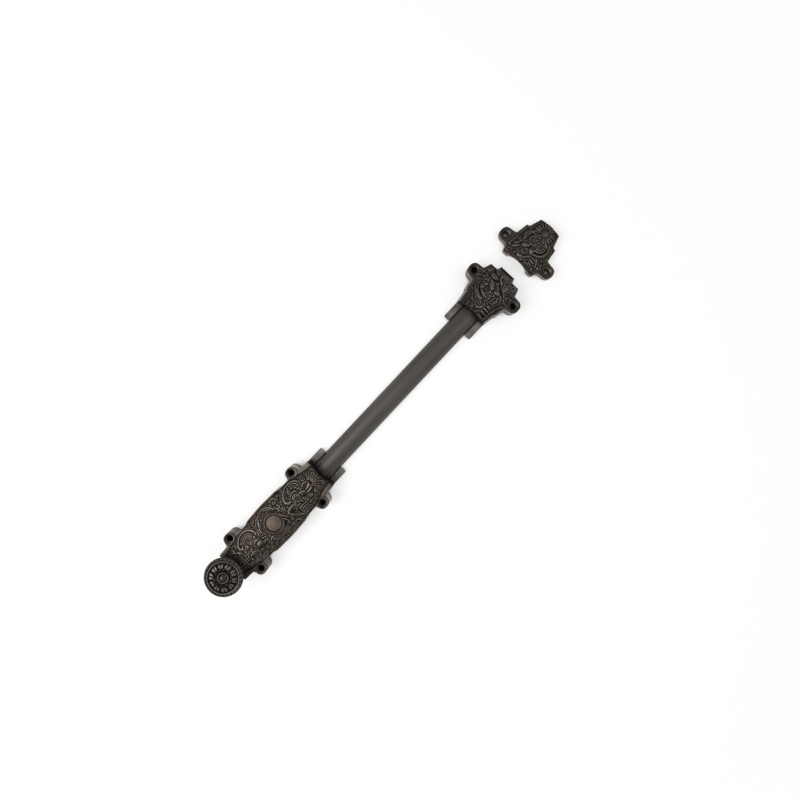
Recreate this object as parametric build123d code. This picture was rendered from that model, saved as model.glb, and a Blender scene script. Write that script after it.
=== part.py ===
from build123d import *
import os

# Surface slide bolt: a half-round rod with a rosette knob runs through an ornate case and a guide,
# and its tip enters a separate strike. Millimetres. X runs along the rod towards the strike, Z comes
# out of the door, Z = 0 is the mounting plane and the origin is the centre of the four case screws.

# Rod
rod_width = 15.9
rod_height = 6.9
rod_length = 307.2
rod_tail = 5.0
rod_end_bulge = 0.9
rod_end_bevel = 0.8
rod_back_bevel = 6.0

# Play between pieces, and how far a cutter reaches past what it cuts
running_gap = 0.1
side_gap = 0.3
seat_gap = 0.05
past = 1.0

# Throw of the bolt and its stop
throw = 19.0
stop_pin_x = -6.0
stop_pin_diameter = 3.0
stop_pin_depth = 4.0
stop_pin_bevel = 0.3
stop_slot_gap = 0.2

# Back plates
floor_thickness = 1.2
rail_height = 2.6
prong_width = 26.0
case_prong_length = 11.4
guide_prong_length = 14.3
prong_corner = 1.0

# Case
case_length = 95.0
case_flange_z = 11.2
case_end_z = 15.2
case_middle_z = 16.2
case_end_width = 26.2
case_waist_width = 28.6
case_belly_width = 32.4
case_belly_length = 30.0
case_belly_run = 3.2
case_belly_fall = 0.6
case_belly_radius = 60.0
crown_end_width = 17.6
crown_margin = 1.3
ear_pitch_x = 66.0
ear_pitch_y = 31.8
ear_diameter = 8.4
ear_flare = 1.2
end_wall = 9.5
chamber_roof = 2.6
pocket_wall = 1.9
pocket_roof = 2.4

# Guide
guide_length = 36.0
tip_reach = 6.4
guide_throat_width = 23.6
guide_flare = 1.6
guide_step_x = 10.0
guide_step = 1.0
guide_shoulder_width = 31.4
guide_draft = 1.4
guide_bite_depth = 1.8
guide_bite_width = 7.0
guide_mouth_width = 27.4
guide_throat_z = 15.4
guide_lug_x = 24.4
guide_screw_pitch = 38.8
lug_width = 10.6
lug_overhang = 4.9

# Strike
strike_gap = 15.0
strike_length = 37.8
strike_flange_z = 5.2
strike_mouth_z = 9.8
strike_tail_z = 7.4
strike_mouth_width = 28.8
strike_shoulder_width = 31.8
strike_step_x = 26.6
strike_step = 2.4
strike_tail_width = 18.4
strike_end_bulge = 1.2
strike_end_radius = 12.0
strike_lug_x = 10.6
strike_screw_pitch = 41.8
socket_depth = 24.0
socket_gap = 0.9
socket_head = 0.3

# Screw holes for the door and frame
hole_diameter = 3.8
countersink_diameter = 6.6
countersink_depth = 1.6

# Screws that hold each back plate to its cover
plate_screw_diameter = 2.8
plate_screw_head = 5.0
plate_screw_head_depth = 1.2
plate_screw_length = 8.5
plate_screw_slot = 0.7
case_plate_screw_x = 21.5
case_plate_screw_y = 11.3
guide_plate_screw_inset = 4.2
guide_plate_screw_y = 11.1

# Centre boss, its washer and the friction spring
boss_diameter = 11.6
boss_edge = 0.9
boss_dome = 0.8
boss_seat = 0.7
boss_shank = 4.0
boss_tail = 5.4
boss_tail_height = 0.7
ring_inner = 12.6
ring_outer = 16.0
ring_height = 0.7
washer_diameter = 7.4
washer_thickness = 0.6
spring_width = 7.0
spring_thickness = 0.5
spring_flat = 10.0
spring_reach = 19.0
spring_toe = 4.0
spring_toe_lift = 1.2
spring_play = 1.0

# Knob, its stem, collar, nut and cap screw
knob_diameter = 28.2
knob_base_z = 15.9
knob_height = 5.7
knob_neck = 7.0
knob_face_diameter = 20.8
knob_valley = 0.9
knob_roll = 0.8
petal_count = 10
petal_turn = 70.0
petal_groove = 1.3
petal_crease = 0.7
rim_block_count = 28
rim_block_groove = 0.9
knob_hub = 7.8
knob_hub_rise = 0.4
stem_diameter = 5.2
stem_gap = 0.5
stem_tail = 4.0
collar_diameter = 8.4
collar_height = 2.6
collar_foot = 0.8
collar_cove = 0.8
nut_across = 7.0
nut_height = 2.2
cap_diameter = 5.2
cap_edge = 0.3
cap_dome = 1.4
cap_seat_depth = 0.4
cap_shank = 2.6
cap_thread = 3.4
cap_tap_spare = 0.3

rod_bottom = floor_thickness + running_gap
rod_top = rod_bottom + rod_height
channel_half = rod_width / 2 + side_gap
end_x = case_length / 2
knob_x = -end_x - stem_gap - stem_diameter / 2
rod_tip_x = knob_x - rod_tail + rod_length
guide_x = rod_tip_x - tip_reach - guide_length
strike_x = guide_x + guide_length + strike_gap


def closed_outline(upper, nose=()):
    """Close an outline given as (x, y, corner radius) along its upper side, mirrored in the X axis."""
    lower = [(x, -y, r) for x, y, r in reversed(upper)]
    loop = upper + list(nose) + lower
    points = [(x, y) for x, y, r in loop]
    radii = [r for x, y, r in loop]
    return make_face(FilletPolyline(*points, radius=radii, close=True))


def across(x):
    """Plane square to the rod at x, with its local x along Y and its local y along Z."""
    return Plane(origin=(x, 0, 0), x_dir=(0, 1, 0), z_dir=(1, 0, 0))


def arched_section(x, width, base, top):
    """Flat-bottomed section with an arc over it, square to the rod."""
    half = width / 2
    base_line = Line((-half, base), (half, base))
    arch = ThreePointArc((half, base), (0, top), (-half, base))
    return across(x) * make_face(base_line + arch)


def crown(stations, base):
    """Domed top lofted through sections given as (x, width, height)."""
    return loft([arched_section(x, width, base, top) for x, width, top in stations])


def bore(x_from, x_to, gap_side, gap_top):
    """Tunnel of the rod's own section, with play at the sides and over it, open at the bottom."""
    half = rod_width / 2 + gap_side
    spring_line = rod_bottom
    walls = Polyline((-half, spring_line), (-half, -past), (half, -past), (half, spring_line))
    arch = ThreePointArc((half, spring_line), (0, rod_top + gap_top), (-half, spring_line))
    return extrude(across(x_from) * make_face(walls + arch), x_to - x_from)


def cylinder(x, y, z, diameter, height):
    """Upright cylinder that stands on z."""
    return Pos(x, y, z) * Cylinder(diameter / 2, height, align=(Align.CENTER, Align.CENTER, Align.MIN))


def screw_hole(x, y, top):
    """Countersunk clearance hole for a wood screw, through everything below top."""
    cone = Cone(hole_diameter / 2, countersink_diameter / 2, countersink_depth,
                align=(Align.CENTER, Align.CENTER, Align.MAX))
    return cylinder(x, y, -past, hole_diameter, top + 2 * past) + Pos(x, y, top) * cone


def dome_arc(half, rim, crest):
    """Arc of a round cap from its rim up to its crest on the axis."""
    rise = crest - rim
    radius = (half ** 2 + rise ** 2) / (2 * rise)
    middle = half / 2
    middle_z = crest - radius + (radius ** 2 - middle ** 2) ** 0.5
    return ThreePointArc((half, rim), (middle, middle_z), (0, crest))


def plate_screw_places():
    """Places of the four case plate screws and the four guide plate screws."""
    case = [(i * case_plate_screw_x, j * case_plate_screw_y) for i in (-1, 1) for j in (-1, 1)]
    near = guide_x + guide_step_x + guide_plate_screw_inset
    far = guide_x + guide_length - guide_plate_screw_inset
    guide = [(x, j * guide_plate_screw_y) for x in (near, far) for j in (-1, 1)]
    return case, guide


def plate_screw(x, y):
    """Countersunk slotted screw driven up from the back."""
    head = Cone(plate_screw_head / 2, plate_screw_diameter / 2, plate_screw_head_depth,
                align=(Align.CENTER, Align.CENTER, Align.MIN))
    body = Pos(x, y, 0) * head + cylinder(x, y, 0, plate_screw_diameter, plate_screw_length)
    slot = Box(plate_screw_head + past, plate_screw_slot, plate_screw_slot,
               align=(Align.CENTER, Align.CENTER, Align.CENTER))
    return body - Pos(x, y, 0) * slot


def plate_screw_hole(x, y):
    """Hole and countersink that a plate screw seats in."""
    play = 2 * seat_gap
    head = Cone(plate_screw_head / 2 + seat_gap, plate_screw_diameter / 2 + seat_gap,
                plate_screw_head_depth, align=(Align.CENTER, Align.CENTER, Align.MIN))
    shaft = cylinder(x, y, -past, plate_screw_diameter + play, plate_screw_length + past + play)
    return shaft + Pos(x, y, 0) * head


def case_outline():
    """Plan of the case: straight ends, four round screw ears and a bulged belly."""
    ear_x = ear_pitch_x / 2
    ear_top = ear_pitch_y / 2 + ear_diameter / 2
    ear_half = ear_diameter / 2
    round_ear = 0.49 * ear_diameter
    end_half = case_end_width / 2
    waist_half = case_waist_width / 2
    belly_half = case_belly_width / 2
    belly_end = case_belly_length / 2
    side = [
        (end_x, end_half, 1.0),
        (ear_x + ear_half + ear_flare, end_half + 0.4, 1.2),
        (ear_x + ear_half, ear_top, round_ear),
        (ear_x - ear_half, ear_top, round_ear),
        (ear_x - ear_half - ear_flare, waist_half, 1.4),
        (belly_end + case_belly_run, waist_half, 2.0),
        (belly_end, belly_half - case_belly_fall, 3.0),
    ]
    left = [(-x, y, r) for x, y, r in side]
    return closed_outline(left + [(0, belly_half, case_belly_radius)] + side[::-1])


def guide_outline(draft=0.0):
    """Plan of the guide at its top edge; further down the throat and shoulders are wider by the draft."""
    lug_x = guide_x + guide_lug_x
    lug_top = guide_screw_pitch / 2 + lug_overhang
    half = lug_width / 2
    throat = guide_throat_width / 2 + draft
    shoulder = guide_shoulder_width / 2 + draft
    step_out = throat + guide_flare
    upper = [
        (guide_x, throat, 0.6),
        (guide_x + guide_step_x, step_out, 0.4),
        (guide_x + guide_step_x + 0.6, step_out + guide_step, 0.4),
        (lug_x - half - 0.8, shoulder, 1.2),
        (lug_x - half + 0.4, lug_top, 0.42 * lug_width),
        (lug_x + half - 0.4, lug_top, 0.42 * lug_width),
        (lug_x + half + 0.3, guide_shoulder_width / 2, 1.0),
        (guide_x + guide_length, guide_mouth_width / 2, 0.8),
    ]
    return closed_outline(upper)


def strike_outline():
    """Plan of the strike: a wide mouth, two lugs, shoulders that step in and a tapered tail."""
    lug_x = strike_x + strike_lug_x
    lug_top = strike_screw_pitch / 2 + lug_overhang
    half = lug_width / 2
    shoulder = strike_shoulder_width / 2
    step_in = strike_x + strike_step_x
    step_half = strike_tail_width / 2 + 2.9
    tail_x = strike_x + strike_length - strike_end_bulge
    upper = [
        (strike_x, strike_mouth_width / 2, 0.8),
        (lug_x - half - 0.3, shoulder - 0.2, 1.0),
        (lug_x - half + 0.4, lug_top, 0.42 * lug_width),
        (lug_x + half - 0.4, lug_top, 0.42 * lug_width),
        (lug_x + half + 0.8, shoulder, 1.2),
        (step_in, step_half + strike_step, 0.6),
        (step_in + 0.6, step_half, 0.6),
        (tail_x, strike_tail_width / 2, 1.0),
    ]
    return closed_outline(upper, nose=[(strike_x + strike_length, 0, strike_end_radius)])


def make_case_cover():
    """Cast case: flat flange, domed crown, four screw ears, rod tunnel and spring chamber."""
    walls = extrude(Pos(0, 0, rail_height) * case_outline(), case_flange_z - rail_height)
    near_end = crown_end_width + 1.4
    waist = case_waist_width - crown_margin
    belly = case_belly_width - 2 * crown_margin
    half_stations = [
        (end_x, crown_end_width, case_end_z),
        (end_x - 6.0, near_end, case_end_z + 0.1),
        (end_x - 12.0, near_end + 3.4, case_end_z + 0.2),
        (ear_pitch_x / 2 - 4.0, waist - 1.2, case_end_z + 0.4),
        (case_belly_length / 2 + 4.0, waist, case_middle_z - 0.4),
        (case_belly_length / 2 - 2.0, belly - 1.0, case_middle_z - 0.1),
    ]
    left = [(-x, width, top) for x, width, top in half_stations]
    stations = left + [(0, belly, case_middle_z)] + half_stations[::-1]
    body = walls + crown(stations, case_flange_z - 0.5)
    ring = Cone(ring_outer / 2, ring_outer / 2 - ring_height, ring_height,
                align=(Align.CENTER, Align.CENTER, Align.MIN))
    body += cylinder(0, 0, case_flange_z, ring_outer, case_middle_z - case_flange_z)
    body += Pos(0, 0, case_middle_z) * ring

    chamber_top = case_end_z - chamber_roof
    chamber_start = -end_x - past
    chamber_base = rail_height + 2.0
    chamber = arched_section(chamber_start, 2 * channel_half, chamber_base, chamber_top)
    below = across(chamber_start) * Pos(0, chamber_base / 2) * Rectangle(2 * channel_half, chamber_base + 0.2)
    chamber_length = case_length + past - end_wall
    body -= extrude(chamber, chamber_length)
    body -= extrude(below, chamber_length)
    spring_room = 2 * (spring_reach + spring_toe + spring_play)
    body -= Pos(0, 0, chamber_top) * Box(spring_room, washer_diameter + spring_play, chamber_roof,
                                         align=(Align.CENTER, Align.CENTER, Align.MAX))
    body -= bore(0, end_x + past, side_gap, side_gap)

    pocket_x = case_plate_screw_x - plate_screw_diameter - pocket_wall
    pocket_y = channel_half + pocket_wall
    pocket_width = case_belly_width / 2 - 0.6 - pocket_wall - pocket_y
    pocket_height = case_flange_z - pocket_roof - rail_height
    pocket_corner = 0.35 * pocket_width
    for side in (-1, 1):
        pocket = Box(2 * pocket_x, pocket_width, 2 * pocket_height)
        pocket = fillet(pocket.edges().filter_by(Axis.Z), pocket_corner)
        body -= Pos(0, side * (pocket_y + pocket_width / 2), rail_height) * pocket

    body -= cylinder(0, 0, case_middle_z - boss_seat, ring_inner, boss_seat + ring_height)
    body -= cylinder(0, 0, 0, boss_shank + 2 * seat_gap, case_middle_z)
    for i in (-1, 1):
        for j in (-1, 1):
            body -= screw_hole(i * ear_pitch_x / 2, j * ear_pitch_y / 2, case_flange_z)
    for x, y in plate_screw_places()[0]:
        body -= plate_screw_hole(x, y)
    return body


def channel_plate(outline, channel_from, channel_to):
    """Back plate with the outline of its cover and a channel that the rod slides in."""
    plate = extrude(outline, rail_height)
    length = channel_to - channel_from
    channel = Box(length, 2 * channel_half, rail_height, align=(Align.MIN, Align.CENTER, Align.MIN))
    return plate - Pos(channel_from, 0, floor_thickness) * channel


def plate_hole(x, y):
    """Plain hole in a back plate for a screw into the door."""
    return cylinder(x, y, -past, hole_diameter, rail_height + 2 * past)


def prongs(x_from, x_to):
    """Two low rails that carry on past the end of the cover, one at each side of the rod."""
    width = prong_width / 2 - channel_half
    rails = []
    for side in (-1, 1):
        rail = Box(x_to - x_from, width, rail_height, align=(Align.MIN, Align.CENTER, Align.MIN))
        rail = Pos(x_from, side * (channel_half + width / 2), 0) * rail
        corners = rail.edges().filter_by(Axis.Z)
        rails.append(fillet(corners, prong_corner))
    return rails


def make_case_back_plate():
    """Back plate of the case: channel, stop slot, prongs at the guide end and screw holes."""
    plate = channel_plate(case_outline(), -end_x - past, end_x + past)
    for rail in prongs(end_x - 2 * prong_corner, end_x + case_prong_length):
        plate += rail
    slot_width = stop_pin_diameter + 2 * stop_slot_gap
    slot_length = throw + stop_pin_diameter + 2 * stop_slot_gap
    slot = SlotOverall(slot_length, slot_width)
    plate -= Pos(stop_pin_x - throw / 2, 0, -past) * extrude(slot, floor_thickness + 2 * past)
    for i in (-1, 1):
        for j in (-1, 1):
            plate -= plate_hole(i * ear_pitch_x / 2, j * ear_pitch_y / 2)
    for x, y in plate_screw_places()[0]:
        plate -= plate_screw_hole(x, y)
    return plate


def make_guide_cover():
    """Cast guide: drafted throat, crown that falls to a bitten mouth, close bore for the rod."""
    foot = Pos(0, 0, rail_height) * guide_outline(guide_draft)
    walls = loft([foot, Pos(0, 0, case_flange_z) * guide_outline()], ruled=True)
    shoulder = guide_shoulder_width - 2 * crown_margin
    far = guide_x + guide_length
    stations = [
        (guide_x, crown_end_width, guide_throat_z),
        (guide_x + guide_step_x * 0.6, crown_end_width + guide_flare, guide_throat_z),
        (guide_x + guide_step_x + 4.0, shoulder - 4.0, guide_throat_z - 0.1),
        (guide_x + guide_lug_x - 4.0, shoulder, guide_throat_z - 0.5),
        (guide_x + guide_lug_x + 4.0, shoulder - 0.6, case_flange_z + 2.4),
        (far, guide_mouth_width - 2 * crown_margin, case_flange_z + 0.7),
    ]
    body = walls + crown(stations, case_flange_z - 0.5)
    body -= bore(guide_x - past, far + past, side_gap, side_gap)
    bite = extrude(Ellipse(guide_bite_depth, guide_bite_width / 2), guide_throat_z)
    for j in (-1, 1):
        body -= Pos(far, j * guide_bite_width / 2, rod_bottom) * bite
        body -= screw_hole(guide_x + guide_lug_x, j * guide_screw_pitch / 2, case_flange_z)
    for x, y in plate_screw_places()[1]:
        body -= plate_screw_hole(x, y)
    return body


def make_guide_back_plate():
    """Back plate of the guide: channel, prongs at the case end and screw holes."""
    far = guide_x + guide_length
    plate = channel_plate(guide_outline(guide_draft), guide_x - past, far + past)
    for rail in prongs(guide_x - guide_prong_length, guide_x + 2 * prong_corner):
        plate += rail
    for j in (-1, 1):
        plate -= plate_hole(guide_x + guide_lug_x, j * guide_screw_pitch / 2)
    for x, y in plate_screw_places()[1]:
        plate -= plate_screw_hole(x, y)
    return plate


def make_strike():
    """Cast strike: shallow flange, crown that falls to the tail, socket open at the mouth and back."""
    walls = extrude(strike_outline(), strike_flange_z)
    shoulder = strike_shoulder_width - 2 * crown_margin
    far = strike_x + strike_length
    stations = [
        (strike_x, strike_mouth_width - 3 * crown_margin, strike_mouth_z),
        (strike_x + strike_lug_x, shoulder - 1.0, strike_mouth_z + 0.3),
        (strike_x + strike_step_x - 6.0, shoulder - 2.0, strike_mouth_z + 0.2),
        (strike_x + strike_step_x + 2.0, strike_tail_width + 2.4, strike_mouth_z - 0.8),
        (far - strike_end_bulge - 0.2, strike_tail_width - crown_margin, strike_tail_z),
    ]
    body = walls + crown(stations, strike_flange_z - 0.5)
    body -= bore(strike_x - past, strike_x + socket_depth, socket_gap, socket_head)
    for j in (-1, 1):
        body -= screw_hole(strike_x + strike_lug_x, j * strike_screw_pitch / 2, strike_flange_z)
    return body


def make_bolt_rod():
    """Half-round rod: bevelled bulged tip, seat for the knob stem, nut recess and stop pin hole."""
    start = rod_tip_x - rod_length
    shaft = extrude(arched_section(start, rod_width, rod_bottom, rod_top), rod_length)
    half = rod_width / 2 + past
    back = rod_back_bevel
    sides = Polyline((rod_tip_x - rod_end_bulge, half), (start + back, half), (start, half - back),
                     (start, back - half), (start + back, -half), (rod_tip_x - rod_end_bulge, -half))
    end = ThreePointArc((rod_tip_x - rod_end_bulge, -half), (rod_tip_x, 0), (rod_tip_x - rod_end_bulge, half))
    shaft &= extrude(make_face(sides + end), rod_top + past)
    rim = shaft.edges().filter_by(lambda e: e.center().X > rod_tip_x - 2 * rod_end_bulge)
    shaft = chamfer(rim, rod_end_bevel)
    shaft -= cylinder(knob_x, 0, 0, stem_tail + 2 * seat_gap, rod_top + past)
    shaft -= cylinder(knob_x, 0, collar_seat(), collar_diameter + 4 * seat_gap, rod_top)
    recess = extrude(RegularPolygon(nut_across / 2 + seat_gap, 6, major_radius=False), nut_height + seat_gap)
    shaft -= Pos(knob_x, 0, rod_bottom) * recess
    shaft -= cylinder(stop_pin_x, 0, 0, stop_pin_diameter, rod_bottom + stop_pin_depth)
    return shaft


def collar_seat():
    """Height of the flat that the collar stands on, cut just deep enough into the rounded rod."""
    half = rod_width / 2
    radius = (half ** 2 + rod_height ** 2) / (2 * rod_height)
    reach = collar_diameter / 2
    return rod_top - (radius - (radius ** 2 - reach ** 2) ** 0.5)


def make_stop_pin():
    """Pin pressed into the back of the rod; it runs in the slot of the case back plate."""
    tip = floor_thickness - running_gap
    pin = cylinder(stop_pin_x, 0, rod_bottom - tip, stop_pin_diameter, stop_pin_depth + tip)
    return chamfer(pin.edges().sort_by(Axis.Z)[0], stop_pin_bevel)


def make_knob_stem():
    """Shouldered stem: a thin tail through the rod, a thick neck up into the knob."""
    seat = collar_seat()
    tail = cylinder(knob_x, 0, rod_bottom, stem_tail, seat - rod_bottom)
    neck = cylinder(knob_x, 0, seat, stem_diameter, stem_top() - seat)
    tap = cylinder(knob_x, 0, stem_top() - cap_thread, cap_shank + 2 * seat_gap, cap_thread + past)
    return tail + neck - tap


def stem_top():
    """Height of the top of the stem, half way up the knob."""
    return knob_base_z + knob_height / 2


def make_stem_nut():
    """Hexagon nut sunk in the back of the rod, on the tail of the stem."""
    nut = extrude(RegularPolygon(nut_across / 2, 6, major_radius=False), nut_height)
    nut = Pos(knob_x, 0, rod_bottom) * nut
    return nut - cylinder(knob_x, 0, 0, stem_tail + 2 * seat_gap, rod_top)


def make_knob_collar():
    """Turned collar that stands on the rod round the stem."""
    seat = collar_seat()
    half = collar_diameter / 2
    inner = stem_diameter / 2 + seat_gap
    foot = seat + collar_foot
    lower = Polyline((inner, seat), (half, seat), (half, foot))
    waist = half - collar_cove
    cove = Polyline((half, foot), (waist, foot + collar_cove), (waist, seat + collar_height))
    upper = Polyline((waist, seat + collar_height), (inner, seat + collar_height), (inner, seat))
    profile = Plane.XZ * make_face(lower + cove + upper)
    return Pos(knob_x, 0, 0) * revolve(profile, Axis.Z)


def make_knob_head():
    """Rosette knob: rolled beaded rim round a dished face of double petals, with a raised hub."""
    radius = knob_diameter / 2
    face = knob_face_diameter / 2
    hub = knob_hub / 2
    base = knob_base_z
    top = knob_base_z + knob_height
    inner = stem_diameter / 2 + seat_gap
    side = base + knob_height * 0.5
    petal_from = face - 0.5
    petal_to = hub + 0.3
    petal_step = (petal_from - petal_to) / 4
    recess = cap_diameter / 2 + 2 * seat_gap
    profile = Polyline(
        (knob_neck / 2, base), (0.6 * radius, base + knob_roll), (radius - 0.6, side),
        (radius, side + knob_roll), (radius, top - knob_roll), (radius - knob_roll, top),
        (face, top - 0.2), (petal_from, top - knob_valley),
        (petal_from - petal_step, top + 0.05), (petal_to + 2 * petal_step, top + 0.35),
        (petal_to + petal_step, top + 0.2), (petal_to, top - knob_hub_rise),
        (hub, top + knob_hub_rise), (recess + 0.4, top + knob_hub_rise), (recess, top - cap_seat_depth),
        (0, top - cap_seat_depth), (0, base), (knob_neck / 2, base))
    knob = revolve(Plane.XZ * make_face(profile), Axis.Z)

    groove_length = face - hub - 0.9
    groove_place = (face + hub) / 2
    deep = Box(groove_length, petal_groove, petal_groove)
    fine = Box(groove_length - 1.6, petal_crease, petal_crease)
    deep = Pos(groove_place, 0, top + 0.3) * Rot(45, 0, 0) * deep
    fine = Pos(groove_place + 0.6, 0, top + 0.3) * Rot(45, 0, 0) * fine
    for k in range(petal_count):
        turn = petal_turn + 360 * k / petal_count
        knob -= Rot(0, 0, turn) * deep
        knob -= Rot(0, 0, turn + 180 / petal_count) * fine
    notch = Pos(radius + 0.1, 0, top) * Rot(0, 0, 45) * Box(rim_block_groove, rim_block_groove, knob_height)
    for k in range(rim_block_count):
        knob -= Rot(0, 0, 360 * (k + 0.5) / rim_block_count) * notch

    knob -= cylinder(0, 0, 0, 2 * inner, stem_top() + seat_gap)
    knob -= cylinder(0, 0, 0, cap_shank + 2 * seat_gap, top + past)
    return Pos(knob_x, 0, 0) * knob


def make_knob_cap_screw():
    """Domed screw in the middle of the rosette, into the top of the stem."""
    seat = knob_base_z + knob_height - cap_seat_depth
    half = cap_diameter / 2
    rim = seat + cap_edge
    dome = dome_arc(half, rim, rim + cap_dome)
    down = Polyline((0, rim + cap_dome), (0, seat), (half, seat), (half, rim))
    head = revolve(Plane.XZ * make_face(dome + down), Axis.Z)
    shank_end = stem_top() - cap_thread + cap_tap_spare
    shank = cylinder(0, 0, shank_end, cap_shank, seat - shank_end)
    return Pos(knob_x, 0, 0) * (head + shank)


def make_centre_boss():
    """Smooth round boss on the crown; its shank is riveted over the washer under the roof."""
    seat = case_middle_z - boss_seat
    half = boss_diameter / 2
    crest = seat + boss_edge + boss_dome
    rim = seat + boss_edge
    tail_top = spring_top() - spring_thickness - washer_thickness - 2 * seat_gap
    dome = dome_arc(half, rim, crest)
    foot = tail_top - boss_tail_height
    down = Polyline((0, crest), (0, foot), (boss_tail / 2, foot), (boss_tail / 2, tail_top),
                    (boss_shank / 2, tail_top), (boss_shank / 2, seat), (half, seat), (half, rim))
    return revolve(Plane.XZ * make_face(dome + down), Axis.Z)


def spring_top():
    """Height of the flat of the friction spring, just under the roof of the chamber."""
    return case_end_z - chamber_roof - seat_gap


def make_boss_washer():
    """Washer between the spring and the riveted tail of the boss."""
    top = spring_top() - spring_thickness - seat_gap
    ring = cylinder(0, 0, top - washer_thickness, washer_diameter, washer_thickness)
    return ring - cylinder(0, 0, 0, boss_shank + 2 * seat_gap, case_middle_z)


def make_friction_spring():
    """Bowed leaf spring: riveted in the middle, its two toes press on the rod and hold it in place."""
    middle = spring_top() - spring_thickness / 2
    press = rod_top + seat_gap + spring_thickness / 2
    half_flat = spring_flat / 2
    points = [(-spring_reach - spring_toe, 0, press + spring_toe_lift), (-spring_reach, 0, press),
              (-half_flat, 0, middle), (half_flat, 0, middle), (spring_reach, 0, press),
              (spring_reach + spring_toe, 0, press + spring_toe_lift)]
    path = FilletPolyline(*points, radius=[3.0, 6.0, 6.0, 3.0])
    start = Plane(origin=path @ 0, x_dir=(0, 1, 0), z_dir=path % 0)
    leaf = sweep(start * Rectangle(spring_width, spring_thickness), path=path)
    return leaf - cylinder(0, 0, 0, boss_shank + 2 * seat_gap, case_middle_z)


case_screws, guide_screws = plate_screw_places()
nodes = {
    "case_cover": make_case_cover(),
    "case_back_plate": make_case_back_plate(),
    "case_plate_screws": Compound(children=[plate_screw(x, y) for x, y in case_screws]),
    "centre_boss": make_centre_boss(),
    "boss_washer": make_boss_washer(),
    "friction_spring": make_friction_spring(),
    "bolt_rod": make_bolt_rod(),
    "stop_pin": make_stop_pin(),
    "knob_stem": make_knob_stem(),
    "stem_nut": make_stem_nut(),
    "knob_collar": make_knob_collar(),
    "knob_head": make_knob_head(),
    "knob_cap_screw": make_knob_cap_screw(),
    "guide_cover": make_guide_cover(),
    "guide_back_plate": make_guide_back_plate(),
    "guide_plate_screws": Compound(children=[plate_screw(x, y) for x, y in guide_screws]),
    "strike": make_strike(),
}

os.makedirs("parts", exist_ok=True)
for name, shape in nodes.items():
    export_step(shape, f"parts/{name}.step")
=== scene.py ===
import math
import bpy
import numpy as np
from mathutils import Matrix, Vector


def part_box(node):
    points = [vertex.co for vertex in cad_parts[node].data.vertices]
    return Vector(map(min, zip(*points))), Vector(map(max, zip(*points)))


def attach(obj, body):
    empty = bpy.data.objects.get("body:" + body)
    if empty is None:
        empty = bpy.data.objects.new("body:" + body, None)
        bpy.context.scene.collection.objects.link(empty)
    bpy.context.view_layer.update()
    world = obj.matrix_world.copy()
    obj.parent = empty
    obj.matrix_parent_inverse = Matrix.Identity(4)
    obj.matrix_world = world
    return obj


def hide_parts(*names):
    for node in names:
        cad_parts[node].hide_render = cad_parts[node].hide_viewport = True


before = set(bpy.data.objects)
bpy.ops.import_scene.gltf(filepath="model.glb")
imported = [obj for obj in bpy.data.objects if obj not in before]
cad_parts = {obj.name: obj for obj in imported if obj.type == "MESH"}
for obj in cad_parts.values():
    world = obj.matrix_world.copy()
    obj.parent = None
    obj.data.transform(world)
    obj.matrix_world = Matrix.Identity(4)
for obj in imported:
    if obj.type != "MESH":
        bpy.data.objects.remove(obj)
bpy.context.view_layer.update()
mm = 0.001


# Case back plate: a flat brass plate that closes the case from behind. It carries the channel of
# the rod, a slot for the stop pin, and two prongs that reach out past the case beside the rod.
# Rolled plate, milled, coloured dark and wiped, so that it stays lighter than the castings.
def tone(red, green, blue):
    """Colour given from 0 to 255, as the shader wants it."""
    def straight(value):
        share = value / 255
        return share / 12.92 if share <= 0.04045 else ((share + 0.055) / 1.055) ** 2.4
    return (straight(red), straight(green), straight(blue), 1.0)


class Shade:
    """A number that varies over a surface; arithmetic on it adds the nodes that work it out."""

    def __init__(self, nodes, socket):
        self.nodes = nodes
        self.socket = socket

    def work(self, operation, first, second):
        return self.nodes.node("ShaderNodeMath", {"operation": operation}, {0: first, 1: second})

    def __add__(self, other):
        return self.work("ADD", self, other)

    def __sub__(self, other):
        return self.work("SUBTRACT", self, other)

    def __rsub__(self, other):
        return self.work("SUBTRACT", other, self)

    def __mul__(self, other):
        return self.work("MULTIPLY", self, other)

    __radd__ = __add__
    __rmul__ = __mul__


class Nodes:
    """The nodes that feed one shader."""

    def __init__(self, tree, kind):
        self.tree = tree
        self.shader = next(n for n in tree.nodes if n.type == kind)

    def node(self, kind, settings=None, inputs=None, output=0):
        """Any other node: its settings first, then the values or links of its sockets."""
        node = self.tree.nodes.new(kind)
        for name, value in (settings or {}).items():
            setattr(node, name, value)
        for name, value in (inputs or {}).items():
            if isinstance(value, Shade):
                self.tree.links.new(value.socket, node.inputs[name])
            else:
                node.inputs[name].default_value = value
        return Shade(self, node.outputs[output])

    def feed(self, socket, shade):
        """Links a value to a socket of the shader, in place of an earlier one."""
        self.tree.links.new(shade.socket, self.shader.inputs[socket])


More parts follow.
